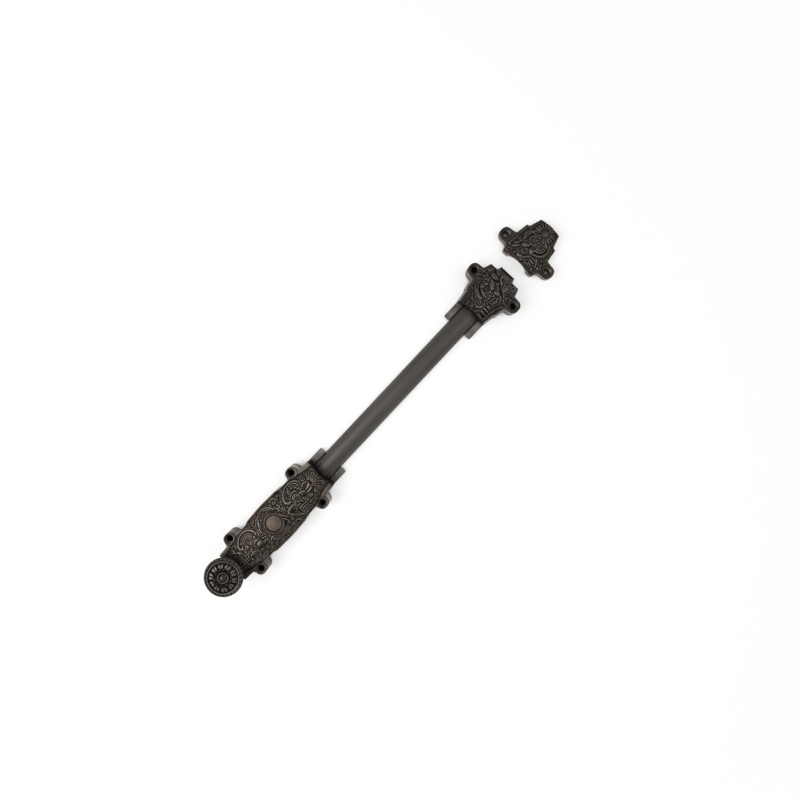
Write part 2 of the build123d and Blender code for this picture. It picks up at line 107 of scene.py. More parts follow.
class Finish(Nodes):
    """One surface finish: a metal shader and what varies it over the surface."""

    def __init__(self, name, metallic, **fixed):
        self.material = bpy.data.materials.new(name)
        self.material.use_nodes = True
        super().__init__(self.material.node_tree, "BSDF_PRINCIPLED")
        self.shader.inputs["Metallic"].default_value = metallic
        for socket, value in fixed.items():
            self.shader.inputs[socket.replace("_", " ")].default_value = value
        self.place = self.node("ShaderNodeTexCoord", output="Object")

    def grain(self, size, detail, rough=0.5, stretch=(1, 1, 1)):
        """Noise whose spots are about that many millimetres across, drawn out along an axis."""
        scaled = self.node("ShaderNodeMapping", {}, {"Vector": self.place, "Scale": stretch})
        values = {"Vector": scaled, "Scale": 1000 / size, "Detail": detail, "Roughness": rough}
        return self.node("ShaderNodeTexNoise", {}, values)

    def band(self, value, low, high):
        """0 under low, 1 over high, smooth between."""
        ranges = {"Value": value, "From Min": low, "From Max": high}
        return self.node("ShaderNodeMapRange", {"interpolation_type": "SMOOTHSTEP"}, ranges)

    def mix(self, share, first, second):
        """The first colour, with that share of the second over it."""
        return self.node("ShaderNodeMix", {"data_type": "RGBA"}, {0: share, 6: first, 7: second}, output=2)

    def colour(self, shade):
        self.feed("Base Color", shade)

    def roughness(self, shade):
        self.feed("Roughness", shade)

    def bump(self, height, depth, under=None):
        """Fine texture of that depth in millimetres, over an earlier one."""
        inputs = {"Height": height, "Distance": depth * mm, "Strength": 1.0}
        if under is not None:
            inputs["Normal"] = under
        normal = self.node("ShaderNodeBump", {}, inputs)
        self.feed("Normal", normal)
        return normal


def dress(node, finish):
    """Gives a node of the frame its finish, in place of its plain one."""
    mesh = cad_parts[node].data
    mesh.materials.clear()
    mesh.materials.append(finish.material)


def plate_finish():
    """Flat plate: fine lengthwise milling, cloudy patina, small bare specks."""
    finish = Finish("milled_plate", 0.9)
    cloud = finish.grain(9.0, detail=4.0)
    lines = finish.grain(0.35, detail=2.0, stretch=(0.05, 1.0, 1.0))
    specks = finish.band(finish.grain(0.9, detail=1.0), 0.66, 0.74)
    patina = finish.mix(finish.band(cloud, 0.35, 0.7), tone(98, 92, 87), tone(136, 127, 121))
    finish.colour(finish.mix(specks * 0.5, patina, tone(150, 138, 122)))
    finish.roughness(0.4 + 0.12 * cloud + 0.08 * lines)
    finish.bump(lines, 0.02)
    return finish


milled_plate = plate_finish()
dress("case_back_plate", milled_plate)


# Plate screws: small slotted brass screws, driven from behind, that hold the back plates to the
# castings. The guide's four are the same as the case's.
def screw_finish():
    """Turned heads, coloured with the rest and scuffed by the driver."""
    finish = Finish("turned_screw", 0.95)
    scuff = finish.grain(0.5, detail=4.0)
    finish.colour(finish.mix(finish.band(scuff, 0.4, 0.65), tone(96, 86, 76), tone(134, 120, 98)))
    finish.roughness(0.34 + 0.2 * scuff)
    finish.bump(finish.grain(0.15, detail=2.0), 0.01)
    return finish


turned_screw = screw_finish()
dress("case_plate_screws", turned_screw)
dress("guide_plate_screws", turned_screw)


# Bolt rod: half-round bar drawn through a die, about 307 mm long, coloured dark and brushed
# along its length. Its end is sawn leaning back, with filed sides that lead it into the strike.
# The stop pin pressed into its back is bare brass.
rod_low, rod_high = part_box("bolt_rod")
rod_start, rod_end = rod_low.x / mm, rod_high.x / mm
rod_half = rod_high.y / mm
rod_bottom, rod_top = rod_low.z / mm, rod_high.z / mm
rod_back_corner = 6.0
rod_lead = 4.2
rod_end_half = 6.6
rod_end_lean = math.radians(29)
rod_broken_edge = 0.2
rod_tip_dark = (243.5, 246.5)
stem_hole = 4.1
collar_play = 0.1
nut_play = 0.06
nut_end_play = 0.05
cutter_past = 1.0


def pick(piece):
    """Makes one object the only selected one, and the active one."""
    bpy.ops.object.select_all(action="DESELECT")
    piece.select_set(True)
    bpy.context.view_layer.objects.active = piece


def sink_into(body, cutter):
    """Takes one solid out of another and clears it away."""
    hole = body.modifiers.new("hole", "BOOLEAN")
    hole.operation = "DIFFERENCE"
    hole.solver = "EXACT"
    hole.object = cutter
    pick(body)
    bpy.ops.object.modifier_apply(modifier=hole.name)
    bpy.data.objects.remove(cutter, do_unlink=True)


def round_cutter(x, radius, low, high, sides=64, turned=0.0):
    """A round or hexagonal plug, between two heights, for a hole in the rod."""
    bpy.ops.object.select_all(action="DESELECT")
    middle = (x * mm, 0, (low + high) / 2 * mm)
    bpy.ops.mesh.primitive_cylinder_add(vertices=sides, radius=radius * mm, depth=(high - low) * mm,
                                        location=middle, rotation=(0, 0, turned))
    return bpy.context.active_object


def draw_bar():
    """The half-round section drawn out, its end filed narrower and sawn off leaning back."""
    height = rod_top - rod_bottom
    radius = (rod_half ** 2 + height ** 2) / (2 * height)
    bpy.ops.object.select_all(action="DESELECT")
    bpy.ops.mesh.primitive_circle_add(vertices=160, radius=radius * mm, rotation=(0, math.pi / 2, 0),
                                      location=(rod_start * mm, 0, (rod_top - radius) * mm))
    rod = bpy.context.active_object
    rod.name = "drawn_rod"
    bpy.ops.object.transform_apply(location=True, rotation=True, scale=False)
    bpy.ops.object.mode_set(mode="EDIT")
    bpy.ops.mesh.select_all(action="SELECT")
    bpy.ops.mesh.bisect(plane_co=(0, 0, rod_bottom * mm), plane_no=(0, 0, 1), clear_inner=True)
    bpy.ops.mesh.select_all(action="SELECT")
    bpy.ops.mesh.edge_face_add()
    half = rod_half - rod_back_corner
    bpy.ops.transform.resize(value=(1, half / rod_half, 1), center_override=(0, 0, 0))
    straight = rod_end - rod_start - rod_back_corner - rod_lead
    for length, wide in ((rod_back_corner, rod_half), (straight, rod_half), (rod_lead, rod_end_half)):
        bpy.ops.mesh.extrude_region_move(TRANSFORM_OT_translate={"value": (length * mm, 0, 0)})
        bpy.ops.transform.resize(value=(1, wide / half, 1), center_override=(0, 0, 0))
        half = wide
    bpy.ops.mesh.select_all(action="SELECT")
    lean = (math.cos(rod_end_lean), 0, math.sin(rod_end_lean))
    bpy.ops.mesh.bisect(plane_co=(rod_end * mm, 0, rod_bottom * mm), plane_no=lean, use_fill=True,
                        clear_outer=True)
    bpy.ops.mesh.select_all(action="SELECT")
    bpy.ops.mesh.normals_make_consistent(inside=False)
    bpy.ops.mesh.select_all(action="DESELECT")
    bpy.ops.object.mode_set(mode="OBJECT")
    past_end = [(v.co.x / mm - rod_end) * lean[0] + (v.co.z / mm - rod_bottom) * lean[2]
                for v in rod.data.vertices]
    for edge in rod.data.edges:
        edge.select = min(past_end[v] for v in edge.vertices) > -0.01
    bpy.ops.object.mode_set(mode="EDIT")
    bpy.ops.mesh.select_mode(type="EDGE")
    bpy.ops.mesh.bevel(offset=rod_broken_edge * mm, segments=2)
    bpy.ops.object.mode_set(mode="OBJECT")
    return rod


def sink_holes(rod):
    """The stem's hole and the collar's seat, the nut's recess behind them, and the pin's hole."""
    stem_low, stem_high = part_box("knob_stem")
    collar_low, collar_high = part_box("knob_collar")
    nut_low, nut_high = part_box("stem_nut")
    pin_low, pin_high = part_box("stop_pin")
    stem_x = (stem_low.x + stem_high.x) / 2 / mm
    pin_x = (pin_low.x + pin_high.x) / 2 / mm
    collar_radius = (collar_high.x - collar_low.x) / 2 / mm + collar_play
    pin_radius = (pin_high.x - pin_low.x) / 2 / mm
    nut_along, nut_across = nut_high.x - nut_low.x, nut_high.y - nut_low.y
    nut_radius = max(nut_along, nut_across) / 2 / mm + nut_play
    nut_turned = math.pi / 6 if nut_along > nut_across else math.pi / 3
    behind, above = rod_bottom - cutter_past, rod_top + cutter_past
    sink_into(rod, round_cutter(stem_x, stem_hole / 2, behind, above))
    sink_into(rod, round_cutter(stem_x, collar_radius, collar_low.z / mm, above))
    sink_into(rod, round_cutter(stem_x, nut_radius, behind, nut_high.z / mm + nut_end_play, 6, nut_turned))
    sink_into(rod, round_cutter(pin_x, pin_radius, behind, pin_high.z / mm))


def rod_finish():
    """Drawn bar: long fine scratches, slow clouds of patina, darker at the tip that enters the strike, and
    painted shade on its cut end face.
    """
    finish = Finish("drawn_bar", 0.92, Specular_IOR_Level=0.0)
    cloud = finish.grain(26.0, detail=3.0, stretch=(0.35, 1.0, 1.0))
    drawn = finish.grain(0.28, detail=3.0, stretch=(0.012, 1.0, 1.0))
    fine = finish.grain(0.12, detail=2.0, stretch=(0.03, 1.0, 1.0))
    dust = finish.band(finish.grain(1.1, detail=2.0, stretch=(0.5, 1.0, 1.0)), 0.64, 0.76)
    base = finish.mix(finish.band(cloud, 0.3, 0.72), tone(76, 73, 69), tone(91, 88, 83))
    lightened = finish.mix(finish.band(drawn, 0.35, 0.72) * 0.4, base, tone(110, 105, 98))
    dusty = finish.mix(dust * 0.35, lightened, tone(62, 58, 54))
    lengthwise = finish.node("ShaderNodeSeparateXYZ", {}, {"Vector": finish.place})
    tip = finish.band(lengthwise, rod_tip_dark[0] * mm, rod_tip_dark[1] * mm)
    upward = finish.node("ShaderNodeSeparateXYZ", {}, {"Vector": finish.place}, output="Z")
    leaning = lengthwise + math.tan(rod_end_lean) * (upward - rod_bottom * mm)
    # painted shade: the end face is painted near black and is not metallic
    sawn_end_shade = finish.band(leaning, (rod_end - 0.3) * mm, (rod_end - 0.1) * mm)
    led_in = finish.mix(tip * 0.65, dusty, tone(61, 59, 57))
    finish.colour(finish.mix(sawn_end_shade, led_in, tone(32, 29, 27)))
    finish.feed("Metallic", 0.92 - 0.9 * sawn_end_shade)
    finish.roughness(0.4 + 0.12 * drawn + 0.06 * cloud + 0.45 * sawn_end_shade)
    finish.bump(fine, 0.006, finish.bump(drawn, 0.014))
    return finish


def plain_brass_finish():
    """Bare brass that nobody sees: dull, with brown spots."""
    finish = Finish("dull_brass", 0.95)
    spots = finish.grain(1.6, detail=4.0)
    finish.colour(finish.mix(finish.band(spots, 0.45, 0.7), tone(168, 138, 86), tone(112, 88, 54)))
    finish.roughness(0.34 + 0.25 * spots)
    finish.bump(finish.grain(0.2, detail=2.0), 0.01)
    return finish


drawn_bar = rod_finish()
dull_brass = plain_brass_finish()
drawn_rod = draw_bar()
sink_holes(drawn_rod)
pick(drawn_rod)
bpy.ops.object.shade_smooth_by_angle(angle=math.radians(32))
drawn_rod.data.materials.append(drawn_bar.material)
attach(drawn_rod, "bolt")
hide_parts("bolt_rod")
dress("stop_pin", dull_brass)
dress("stem_nut", dull_brass)


# Friction spring, its washer and the centre boss: the boss is a smooth turned button, riveted
# through the crown of the case over the washer, and it holds the bowed leaf spring under it.
def spring_finish():
    """Blued spring steel with a drawn grain along the leaf."""
    finish = Finish("blued_steel", 1.0)
    heat = finish.grain(12.0, detail=2.0)
    lines = finish.grain(0.3, detail=2.0, stretch=(0.05, 1.0, 1.0))
    finish.colour(finish.mix(finish.band(heat, 0.35, 0.7), tone(70, 76, 98), tone(112, 108, 112)))
    finish.roughness(0.28 + 0.15 * lines)
    finish.bump(lines, 0.01)
    return finish


def button_finish():
    """The boss: cloudy, darker towards its edge, faint turning rings."""
    finish = Finish("dark_edged_button", 0.95)
    reach = finish.node("ShaderNodeVectorMath", {"operation": "MULTIPLY"},
                        {0: finish.place, 1: (1000, 1000, 0)})
    radius = finish.node("ShaderNodeVectorMath", {"operation": "LENGTH"}, {0: reach}, output="Value")
    edge = finish.band(radius, 4.9, 5.8)
    cloud = finish.grain(5.0, detail=4.0)
    rings = finish.node("ShaderNodeMath", {"operation": "SINE"}, {0: radius * 22.0})
    lightened = finish.mix(finish.band(cloud, 0.35, 0.7), tone(90, 80, 71), tone(103, 92, 82))
    finish.colour(finish.mix(edge * 0.7, lightened, tone(66, 57, 50)))
    finish.roughness(0.54 + 0.12 * cloud)
    finish.bump(rings, 0.003, finish.bump(finish.grain(0.4, detail=3.0), 0.012))
    return finish


blued_steel = spring_finish()
dark_edged_button = button_finish()
dress("friction_spring", blued_steel)
dress("boss_washer", dull_brass)
dress("centre_boss", dark_edged_button)


# Case casting: one brass casting, carved all over its domed crown with scrolls, shells, buds and
# small leaves round the smooth centre boss, and plain on its flange and four screw ears. It is
# sand cast, coloured nearly black, and the high carving is rubbed back by wear.
case_ends = (-47.5, 47.5)
case_flange = 11.2
case_crown = ([0, 13, 19, 29, 35.5, 41.5, 47.5], [14.9, 14.4, 13.7, 13.0, 11.2, 9.5, 8.8])
case_ears = [(x, y) for x in (-33.0, 33.0) for y in (-15.9, 15.9)]
# the end face at the guide's end is painted near black for its shade
case_shaded_end = (46.3, 48.5)

# alike on all three castings
skin_step = 0.515
flange_edge = 0.7
carving_ground = 0.45
ear_radius = 5.6
sunk_radius = 3.6
sunk_groove = 3.45
sunk_lip = 4.0


def ramp(value, start, over):
    """0 at the start, rising evenly to 1 over a stretch; a negative one lies before the start."""
    return np.clip((value - start) / over, 0, 1)


def ridge(value, middle, width):
    """1 at the middle, fading out on both sides."""
    return np.exp(-((value - middle) / width) ** 2)


def polar(x, y, radius, angle):
    """Point at a distance from x, y, in a direction in degrees."""
    return x + radius * math.cos(math.radians(angle)), y + radius * math.sin(math.radians(angle))


def arc(x, y, radius, start, end, flat=1.0):
    """Points of an arc round x, y, between two angles in degrees; flat squeezes it in y."""
    count = max(4, int(abs(end - start) * radius / 40) + 2)
    turns = [math.radians(start + (end - start) * k / (count - 1)) for k in range(count)]
    return [(x + radius * math.cos(a), y + flat * radius * math.sin(a)) for a in turns]


def volute(x, y, outer, inner, start, turn):
    """Points of a spiral round x, y that winds in from outer to inner, starting at an angle."""
    count = max(6, int(abs(turn) / 24))
    shares = [k / count for k in range(count + 1)]
    return [polar(x, y, outer + (inner - outer) * share ** 0.8, start + turn * share) for share in shares]


def smooth_line(points):
    """Points close together on a smooth curve through a few."""
    p = np.vstack([2 * points[0] - points[1], points, 2 * points[-1] - points[-2]])
    line = []
    for a, b, c, d in zip(p, p[1:], p[2:], p[3:]):
        count = max(2, int(np.linalg.norm(c - b) / 0.12))
        t = np.linspace(0, 1, count, endpoint=False)[:, None]
        cubic = (3 * b - a - 3 * c + d) * t ** 3
        line.append(0.5 * (2 * b + (c - a) * t + (2 * a - 5 * b + 4 * c - d) * t ** 2 + cubic))
    return np.vstack([*line, points[-1:]])


def half_at(crown, x):
    """Half width of a crown at x; one that is given from 0 is alike to both sides of it."""
    return np.interp(np.abs(x) if crown[0][0] == 0 else x, *crown)


class Relief:
    """Height of a carving over the bare crown, in millimetres, on a fine grid seen in plan, and beside it
    painted light: painted highlights on some forms and painted shadow. The drawing is shifted and
    stretched to its place; field is the bare ground, weight the boldness."""

    step = 0.1

    def __init__(self, ends, half, shift, field, weight, stretch=1.0):
        self.ends = ends
        self.x = np.arange(ends[0], ends[1] + self.step, self.step)
        self.y = np.arange(-half, half + self.step, self.step)
        self.field = field
        self.weight = weight
        self.height = np.full((len(self.x), len(self.y)), field)
        self.painted_light = np.zeros((len(self.x), len(self.y)))
        self.shift = shift
        self.stretch = stretch

    def placed(self, points):
        """From the drawing's millimetres to the part's."""
        p = np.array(points, float).reshape(-1, 2)
        x = self.ends[0] + (p[:, 0] - self.ends[0]) * self.stretch + self.shift[0]
        return np.stack([x, p[:, 1] + self.shift[1]], axis=1)

    def window(self, low, high):
        """Part of the grid between two corners."""
        i = np.searchsorted(self.x, [low[0], high[0]])
        j = np.searchsorted(self.y, [low[1], high[1]])
        return slice(i[0], i[1]), slice(j[0], j[1])

    def around(self, x, y, reach):
        """Part of the grid round a point of the drawing, and its places from there."""
        (cx, cy), = self.placed([(x, y)])
        area = self.window((cx - reach, cy - reach), (cx + reach, cy + reach))
        return area, *np.meshgrid(self.x[area[0]] - cx, self.y[area[1]] - cy, indexing="ij")

    def raise_form(self, area, share, gap, height, crease, ditch, base, painted_light):
        """Lets a form stand over what lies there, with a dark ditch cut round it."""
        ground = self.height[area]
        if ditch:
            rim = base + 0.9 * np.clip(gap / ditch - 0.35, 0, 1)
            ground = np.where((gap > 0) & (gap < ditch), np.minimum(ground, rim), ground)
        inside = np.clip(1 - share ** 2, 0, 1)
        form = base + height * np.sqrt(inside) - crease * ridge(share, 0, 0.28)
        self.height[area] = np.where(share < 1, form, ground)
        # painted highlight on the form, as strong as asked
        self.painted_light[area] = np.where(share < 1, painted_light * inside, self.painted_light[area])

    def stroke(self, points, width, height=0.9, crease=0.0, ditch=0.5, base=0.0, painted_light=0.0):
        """A stem or leaf along a smooth line; width is one half width or three along it."""
        line = smooth_line(self.placed(points))
        widths = [width] * 3 if isinstance(width, (int, float)) else width
        half = np.interp(np.linspace(0, 1, len(line)), [0, 0.5, 1], widths) * self.weight
        margin = half.max() + ditch + 0.2
        area = self.window(line.min(0) - margin, line.max(0) + margin)
        gx, gy = np.meshgrid(self.x[area[0]], self.y[area[1]], indexing="ij")
        share = np.full(gx.shape, 9.0)
        gap = np.full(gx.shape, 9.0)
        for (px, py), h in zip(line[::2], half[::2]):
            distance = np.hypot(gx - px, gy - py)
            share = np.minimum(share, distance / h)
            gap = np.minimum(gap, distance - h)
        self.raise_form(area, share, gap, height, crease, ditch, base, painted_light)

    def bud(self, x, y, along, over, turn=0.0, height=0.9, ditch=0.5, base=0.0, painted_light=0.0):
        """A smooth oval swelling, along by over, turned by so many degrees."""
        along, over = along * self.weight ** 0.5, over * self.weight ** 0.5
        area, gx, gy = self.around(x, y, max(along, over) + ditch + 0.2)
        c, s = math.cos(math.radians(turn)), math.sin(math.radians(turn))
        share = np.hypot((gx * c + gy * s) / along, (gy * c - gx * s) / over)
        gap = (share - 1) * min(along, over)
        self.raise_form(area, share, gap, height, 0.0, ditch, base, painted_light)

    def ring(self, x, y, radius, width):
        """A thin ring that runs over what lies there."""
        area, gx, gy = self.around(x, y, radius + width + 0.2)
        share = np.abs(np.hypot(gx, gy) - radius) / width
        form = 0.6 * np.sqrt(np.clip(1 - share ** 2, 0, 1))
        self.height[area] = np.where(share < 1, np.maximum(self.height[area], form), self.height[area])

    def cut(self, points, width, depth=0.7):
        """A gouge along a smooth line."""
        before, light_before = self.height.copy(), self.painted_light.copy()
        self.height[:] = 0
        self.stroke(points, width, 1.0, ditch=0)
        self.painted_light = np.where(self.height > 0, 0, light_before)
        self.height = before - depth * self.height

    def fan(self, x, y, inner, outer, start, end, count, width, height):
        """Petals that spread out from a middle."""
        for k in range(count):
            angle = start + (end - start) * k / (count - 1)
            points = [polar(x, y, r, angle) for r in (inner, (inner + outer) / 2, outer)]
            self.stroke(points, (0.6 * width, width, 0.8 * width), height, crease=0.12, ditch=0.25)

    def fill(self, crown, seed, tries, sizes=(0.8, 1.35)):
        """Small curls, leaves and beads in what is still bare, thrown in with a fixed seed."""
        draw = np.random.default_rng(seed)
        for _ in range(tries):
            x = draw.uniform(self.x[0] + 1, self.x[-1] - 1)
            limit = half_at(crown, x) - 0.9
            y = draw.uniform(-limit, limit)
            kind, turn, size = draw.random(), draw.uniform(0, 360), draw.uniform(*sizes)
            ground = self.height[self.window((x - size, y - size), (x + size, y + size))]
            if ground.size == 0 or np.mean(np.abs(ground - self.field) > 0.12) > 0.22:
                continue
            px = self.ends[0] + (x - self.shift[0] - self.ends[0]) / self.stretch
            py = y - self.shift[1]
            if kind < 0.4:
                self.stroke(volute(px, py, size, 0.3 * size, turn, 400), (0.2, 0.3, 0.36), 0.6, ditch=0.2)
            elif kind < 0.8:
                bend = arc(px, py, 0.95 * size, turn, turn + 110)
                self.stroke(bend, (0.16, 0.42, 0.14), 0.62, crease=0.1, ditch=0.25)
            else:
                self.bud(px, py, 0.5 * size, 0.42 * size, turn, 0.6, ditch=0.25)

    def blurred(self, radius):
        """The height, softened over that many millimetres."""
        reach = int(2.5 * radius / self.step)
        weights = ridge(np.arange(-reach, reach + 1) * self.step, 0, radius * 2 ** 0.5)
        weights /= weights.sum()
        soft = np.pad(self.height, reach, mode="edge")
        for axis in (0, 1):
            soft = np.apply_along_axis(np.convolve, axis, soft, weights, mode="valid")
        return soft

    def read(self, field, x, y):
        """Value of a field at points of the part, in millimetres, by straight interpolation."""
        u = np.clip((x - self.x[0]) / self.step, 0, len(self.x) - 1.001)
        v = np.clip((y - self.y[0]) / self.step, 0, len(self.y) - 1.001)
        i, j = u.astype(int), v.astype(int)
        a, b = u - i, v - j
        near = field[i, j] * (1 - b) + field[i, j + 1] * b
        far = field[i + 1, j] * (1 - b) + field[i + 1, j + 1] * b
        return near * (1 - a) + far * a


def draw_case():
    """The drawing of the case, from the knob end to the guide end."""
    r = Relief(case_ends, 21.0, (0.0, 0.6), field=0.08, weight=1.1)
    # knob end: a half rosette under the knob and stout lobes
    r.fan(-43.5, -0.5, 1.6, 6.4, 100, 260, 9, 0.75, 0.6)
    r.fan(-42.0, -0.5, 2.2, 6.0, -75, 75, 9, 0.6, 0.6)
    r.stroke([(-36.8, 8.2), (-36.2, 6.6), (-36.4, 4.8)], (0.5, 0.8, 0.4))
    r.stroke([(-34.2, 4.0), (-33.2, 2.8), (-32.3, 1.2)], (0.7, 0.9, 0.5), 1.0)
    r.stroke(arc(-38.0, -1.0, 3.6, -70, 60), 0.4, 0.7)
    r.stroke(arc(-38.0, -1.0, 2.2, -80, 80), 0.35, 0.6)
    r.bud(-31.6, -1.4, 0.8, 0.7)
    for k in range(4):
        r.stroke([(-35.6 + 1.7 * k, -3.0 + 0.1 * k), (-36.8 + 1.8 * k, -6.2)], (0.3, 0.5, 0.3), 0.7)
    r.stroke([(-39.0, -8.2), (-36.0, -9.2), (-33.2, -9.8), (-31.5, -11.0)], 0.4, 0.6)
    r.stroke([(-40.0, 9.0), (-37.0, 9.7), (-34.2, 9.9)], 0.4, 0.6)
    # upper shell, framed by the big scroll
    for radius, width in ((6.0, 0.35), (3.1, 0.4)):
        r.stroke(arc(-23.0, 3.6, radius, 8, 172), width, 0.7)
    for k in range(13):
        r.stroke([polar(-23.0, 3.6, radius, 16 + 12.3 * k) for radius in (3.7, 5.3)], 0.42, 0.65, ditch=0.2)
    r.stroke([(-29.8, 9.6), (-27.0, 11.8), (-23.0, 12.6), (-19.0, 11.9), (-16.2, 10.0), (-14.0, 7.4)],
             0.28, 0.6)
    r.stroke([(-28.4, 4.2), (-29.6, 3.3), (-30.9, 4.1), (-31.1, 5.8), (-30.2, 7.8), (-28.4, 9.8),
              (-26.0, 11.0), (-23.0, 11.4), (-20.0, 10.8), (-17.4, 9.3), (-15.5, 7.1), (-14.7, 5.2),
              (-15.4, 3.6), (-16.9, 2.4), (-18.2, 2.8)], (0.55, 0.48, 0.8), 1.2)
    r.bud(-17.3, 3.3, 1.25, 1.0, 30, 1.25)
    for x in (-26.3, -22.9):
        r.stroke(volute(x, 1.7, 1.35, 0.5, 150, -330), (0.35, 0.45, 0.3), 0.85)
    # almond bud, beads and the lower shell
    r.stroke([(-21.4, -1.0), (-19.2, 0.2), (-16.4, -0.2), (-14.6, -1.8)], (0.25, 0.4, 0.25), 0.8)
    r.bud(-17.8, -3.0, 3.1, 1.9, 10, 1.15)
    for x, y in ((-13.1, -2.0), (-11.3, -2.6), (-13.4, -4.3), (-11.7, -4.8)):
        r.bud(x, y, 0.75, 0.7, 0, 0.85)
    for radius, width in ((6.4, 0.4), (5.2, 0.35), (4.0, 0.4)):
        r.stroke(arc(-24.6, -7.2, radius, 196, 344), width, 0.75)
    for x, y in ((-27.4, -8.6), (-24.2, -9.1), (-21.6, -8.4)):
        r.bud(x, y, 0.8, 0.65, 0, 0.9)
    r.stroke([(-29.0, -4.8), (-26.0, -4.2), (-23.2, -4.9), (-21.8, -6.4)], (0.3, 0.5, 0.3), 0.8)
    r.stroke([(-28.6, -1.6), (-26.4, -2.4), (-24.2, -1.9)], (0.25, 0.45, 0.25), 0.7)
    r.bud(-30.2, -7.2, 0.7, 1.5, 10, 0.8)
    r.bud(-20.2, -8.0, 2.0, 1.7, 0, 0.8)
    r.ring(-15.0, -11.8, 2.0, 0.3)
    r.bud(-15.0, -11.8, 1.1, 0.9, 0, 0.9)
    # leaves between the shell and the boss
    for k in range(3):
        x = -14.0 + 1.45 * k
        r.stroke([(x + 0.2, 6.2 + k), (x + 0.6, 3.6), (x, 0.9)], (0.2, 0.45, 0.25), 0.8)
    r.stroke([(-9.7, 7.2), (-10.2, 4.6), (-11.0, 2.8), (-10.8, 0.7)], (0.3, 0.5, 0.35), 1.0)
    r.stroke([(-11.0, -8.1), (-9.4, -6.9), (-7.6, -6.5), (-5.8, -7.6)], (0.25, 0.6, 0.3), 0.95, crease=0.15)
    r.stroke([(-9.8, -9.2), (-8.0, -8.2), (-6.0, -9.0)], (0.2, 0.45, 0.2), 0.8)
    r.stroke([(-13.6, 9.6), (-11.0, 11.2), (-9.0, 13.0)], (0.3, 0.6, 0.2), 0.8, crease=0.1)
    r.stroke([(-11.6, 7.6), (-9.4, 9.6), (-7.8, 12.2)], (0.3, 0.6, 0.2), 0.8, crease=0.1)
    # rings round the boss, scroll over it, volute beside it, gadrooned edge bands
    r.bud(0.0, -0.6, 8.2, 8.2, 0, 0.01, ditch=0.0, base=0.4)
    r.stroke(arc(0.0, -0.6, 7.0, 0, 360), 0.6, 0.12, ditch=0.0, base=0.4)
    r.cut(arc(0.0, -0.6, 8.1, 0, 360), 0.35, 0.35)
    r.stroke(arc(-1.6, 4.4, 8.3, 165, 15), 0.5, 0.95)
    r.stroke(arc(-1.6, 4.4, 6.9, 150, 30), 0.3, 0.7)
    r.stroke([(-8.9, 4.6), (-9.0, 6.2), (-8.2, 8.0), (-6.9, 9.3)], (0.45, 0.65, 0.4), 1.15)
    r.stroke(volute(9.4, 10.5, 3.2, 0.7, 205, -520), (0.35, 0.5, 0.5), 0.95)
    r.bud(9.1, 10.4, 0.8, 0.8, 0, 1.1)
    r.bud(14.2, 11.6, 0.9, 0.85, 0, 1.05)
    r.bud(12.8, 9.9, 0.75, 0.7, 0, 0.9)
    for radius in (8.6, 9.8, 11.0):
        r.stroke(arc(0.0, -0.6, radius, 238, 296), 0.38, 0.7)
    r.stroke([(7.6, 1.4), (8.4, -0.8), (9.6, -3.4), (10.4, -5.4)], (0.35, 0.55, 0.3), 1.15)
    r.stroke([(6.9, -2.2), (7.8, -4.2), (8.4, -6.4)], (0.25, 0.5, 0.25), 0.9)
    r.stroke([(8.2, 6.0), (9.6, 4.6), (8.7, 2.6)], (0.3, 0.55, 0.25), 0.9)
    r.stroke([(10.4, 7.2), (11.2, 5.2), (10.2, 3.2)], (0.25, 0.5, 0.25), 0.85)
    r.stroke(volute(12.4, 1.4, 1.5, 0.5, 60, 360), (0.3, 0.4, 0.35), 0.8)
    for y in (14.0, -15.0):
        for k in range(18):
            r.bud(-11.8 + 1.75 * k, y, 0.72, 0.8, 0, 0.6, ditch=0.2)
    r.stroke([(-12.5, -13.3), (0.0, -13.9), (11.0, -13.6), (19.5, -12.9)], 0.22, 0.5)
    r.stroke([(-12.5, 12.6), (-8.0, 13.0)], 0.22, 0.5)
    # framed shell of the guide end; the frame begins in a thick hook
    r.stroke([(20.6, 3.4), (19.8, 1.9), (18.2, 1.3), (16.7, 2.2), (16.2, 4.2), (17.0, 6.6), (18.6, 9.0),
              (21.2, 10.7), (24.6, 11.5), (28.0, 11.2), (31.0, 9.8), (33.0, 7.2), (33.5, 4.0)],
             (1.05, 0.45, 0.4), 1.2, painted_light=0.1)
    r.bud(20.3, 3.2, 1.1, 0.95, 60, 1.2, painted_light=0.15)
    r.stroke([(21.6, 7.0), (23.2, 9.1), (25.6, 10.0), (28.2, 9.7), (30.6, 7.8), (31.5, 4.6)], 0.36, 0.8)
    r.stroke([(22.0, 5.6), (23.8, 7.7), (26.2, 8.4), (28.6, 7.6)], 0.32, 0.7)
    r.stroke([(21.4, 3.6), (23.4, 4.8), (26.0, 4.7), (28.0, 3.6)], (0.3, 0.55, 0.3), 0.85)
    for x, y in ((25.9, 6.7), (28.7, 4.9), (29.6, 3.1), (34.8, 2.1), (34.6, -1.2)):
        r.bud(x + 0.2, y + 0.9, 1.3, 0.5, -8, 0.85)
        r.cut([(x - 1.2, y), (x + 1.2, y)], 0.35)
    r.stroke(arc(24.0, 0.6, 2.3, 190, -10), 0.42, 0.9)
    r.stroke(arc(24.0, 0.6, 1.2, 180, 0), 0.32, 0.7)
    r.stroke([(26.3, 1.8), (26.7, -1.2)], (0.35, 0.45, 0.3), 0.95)
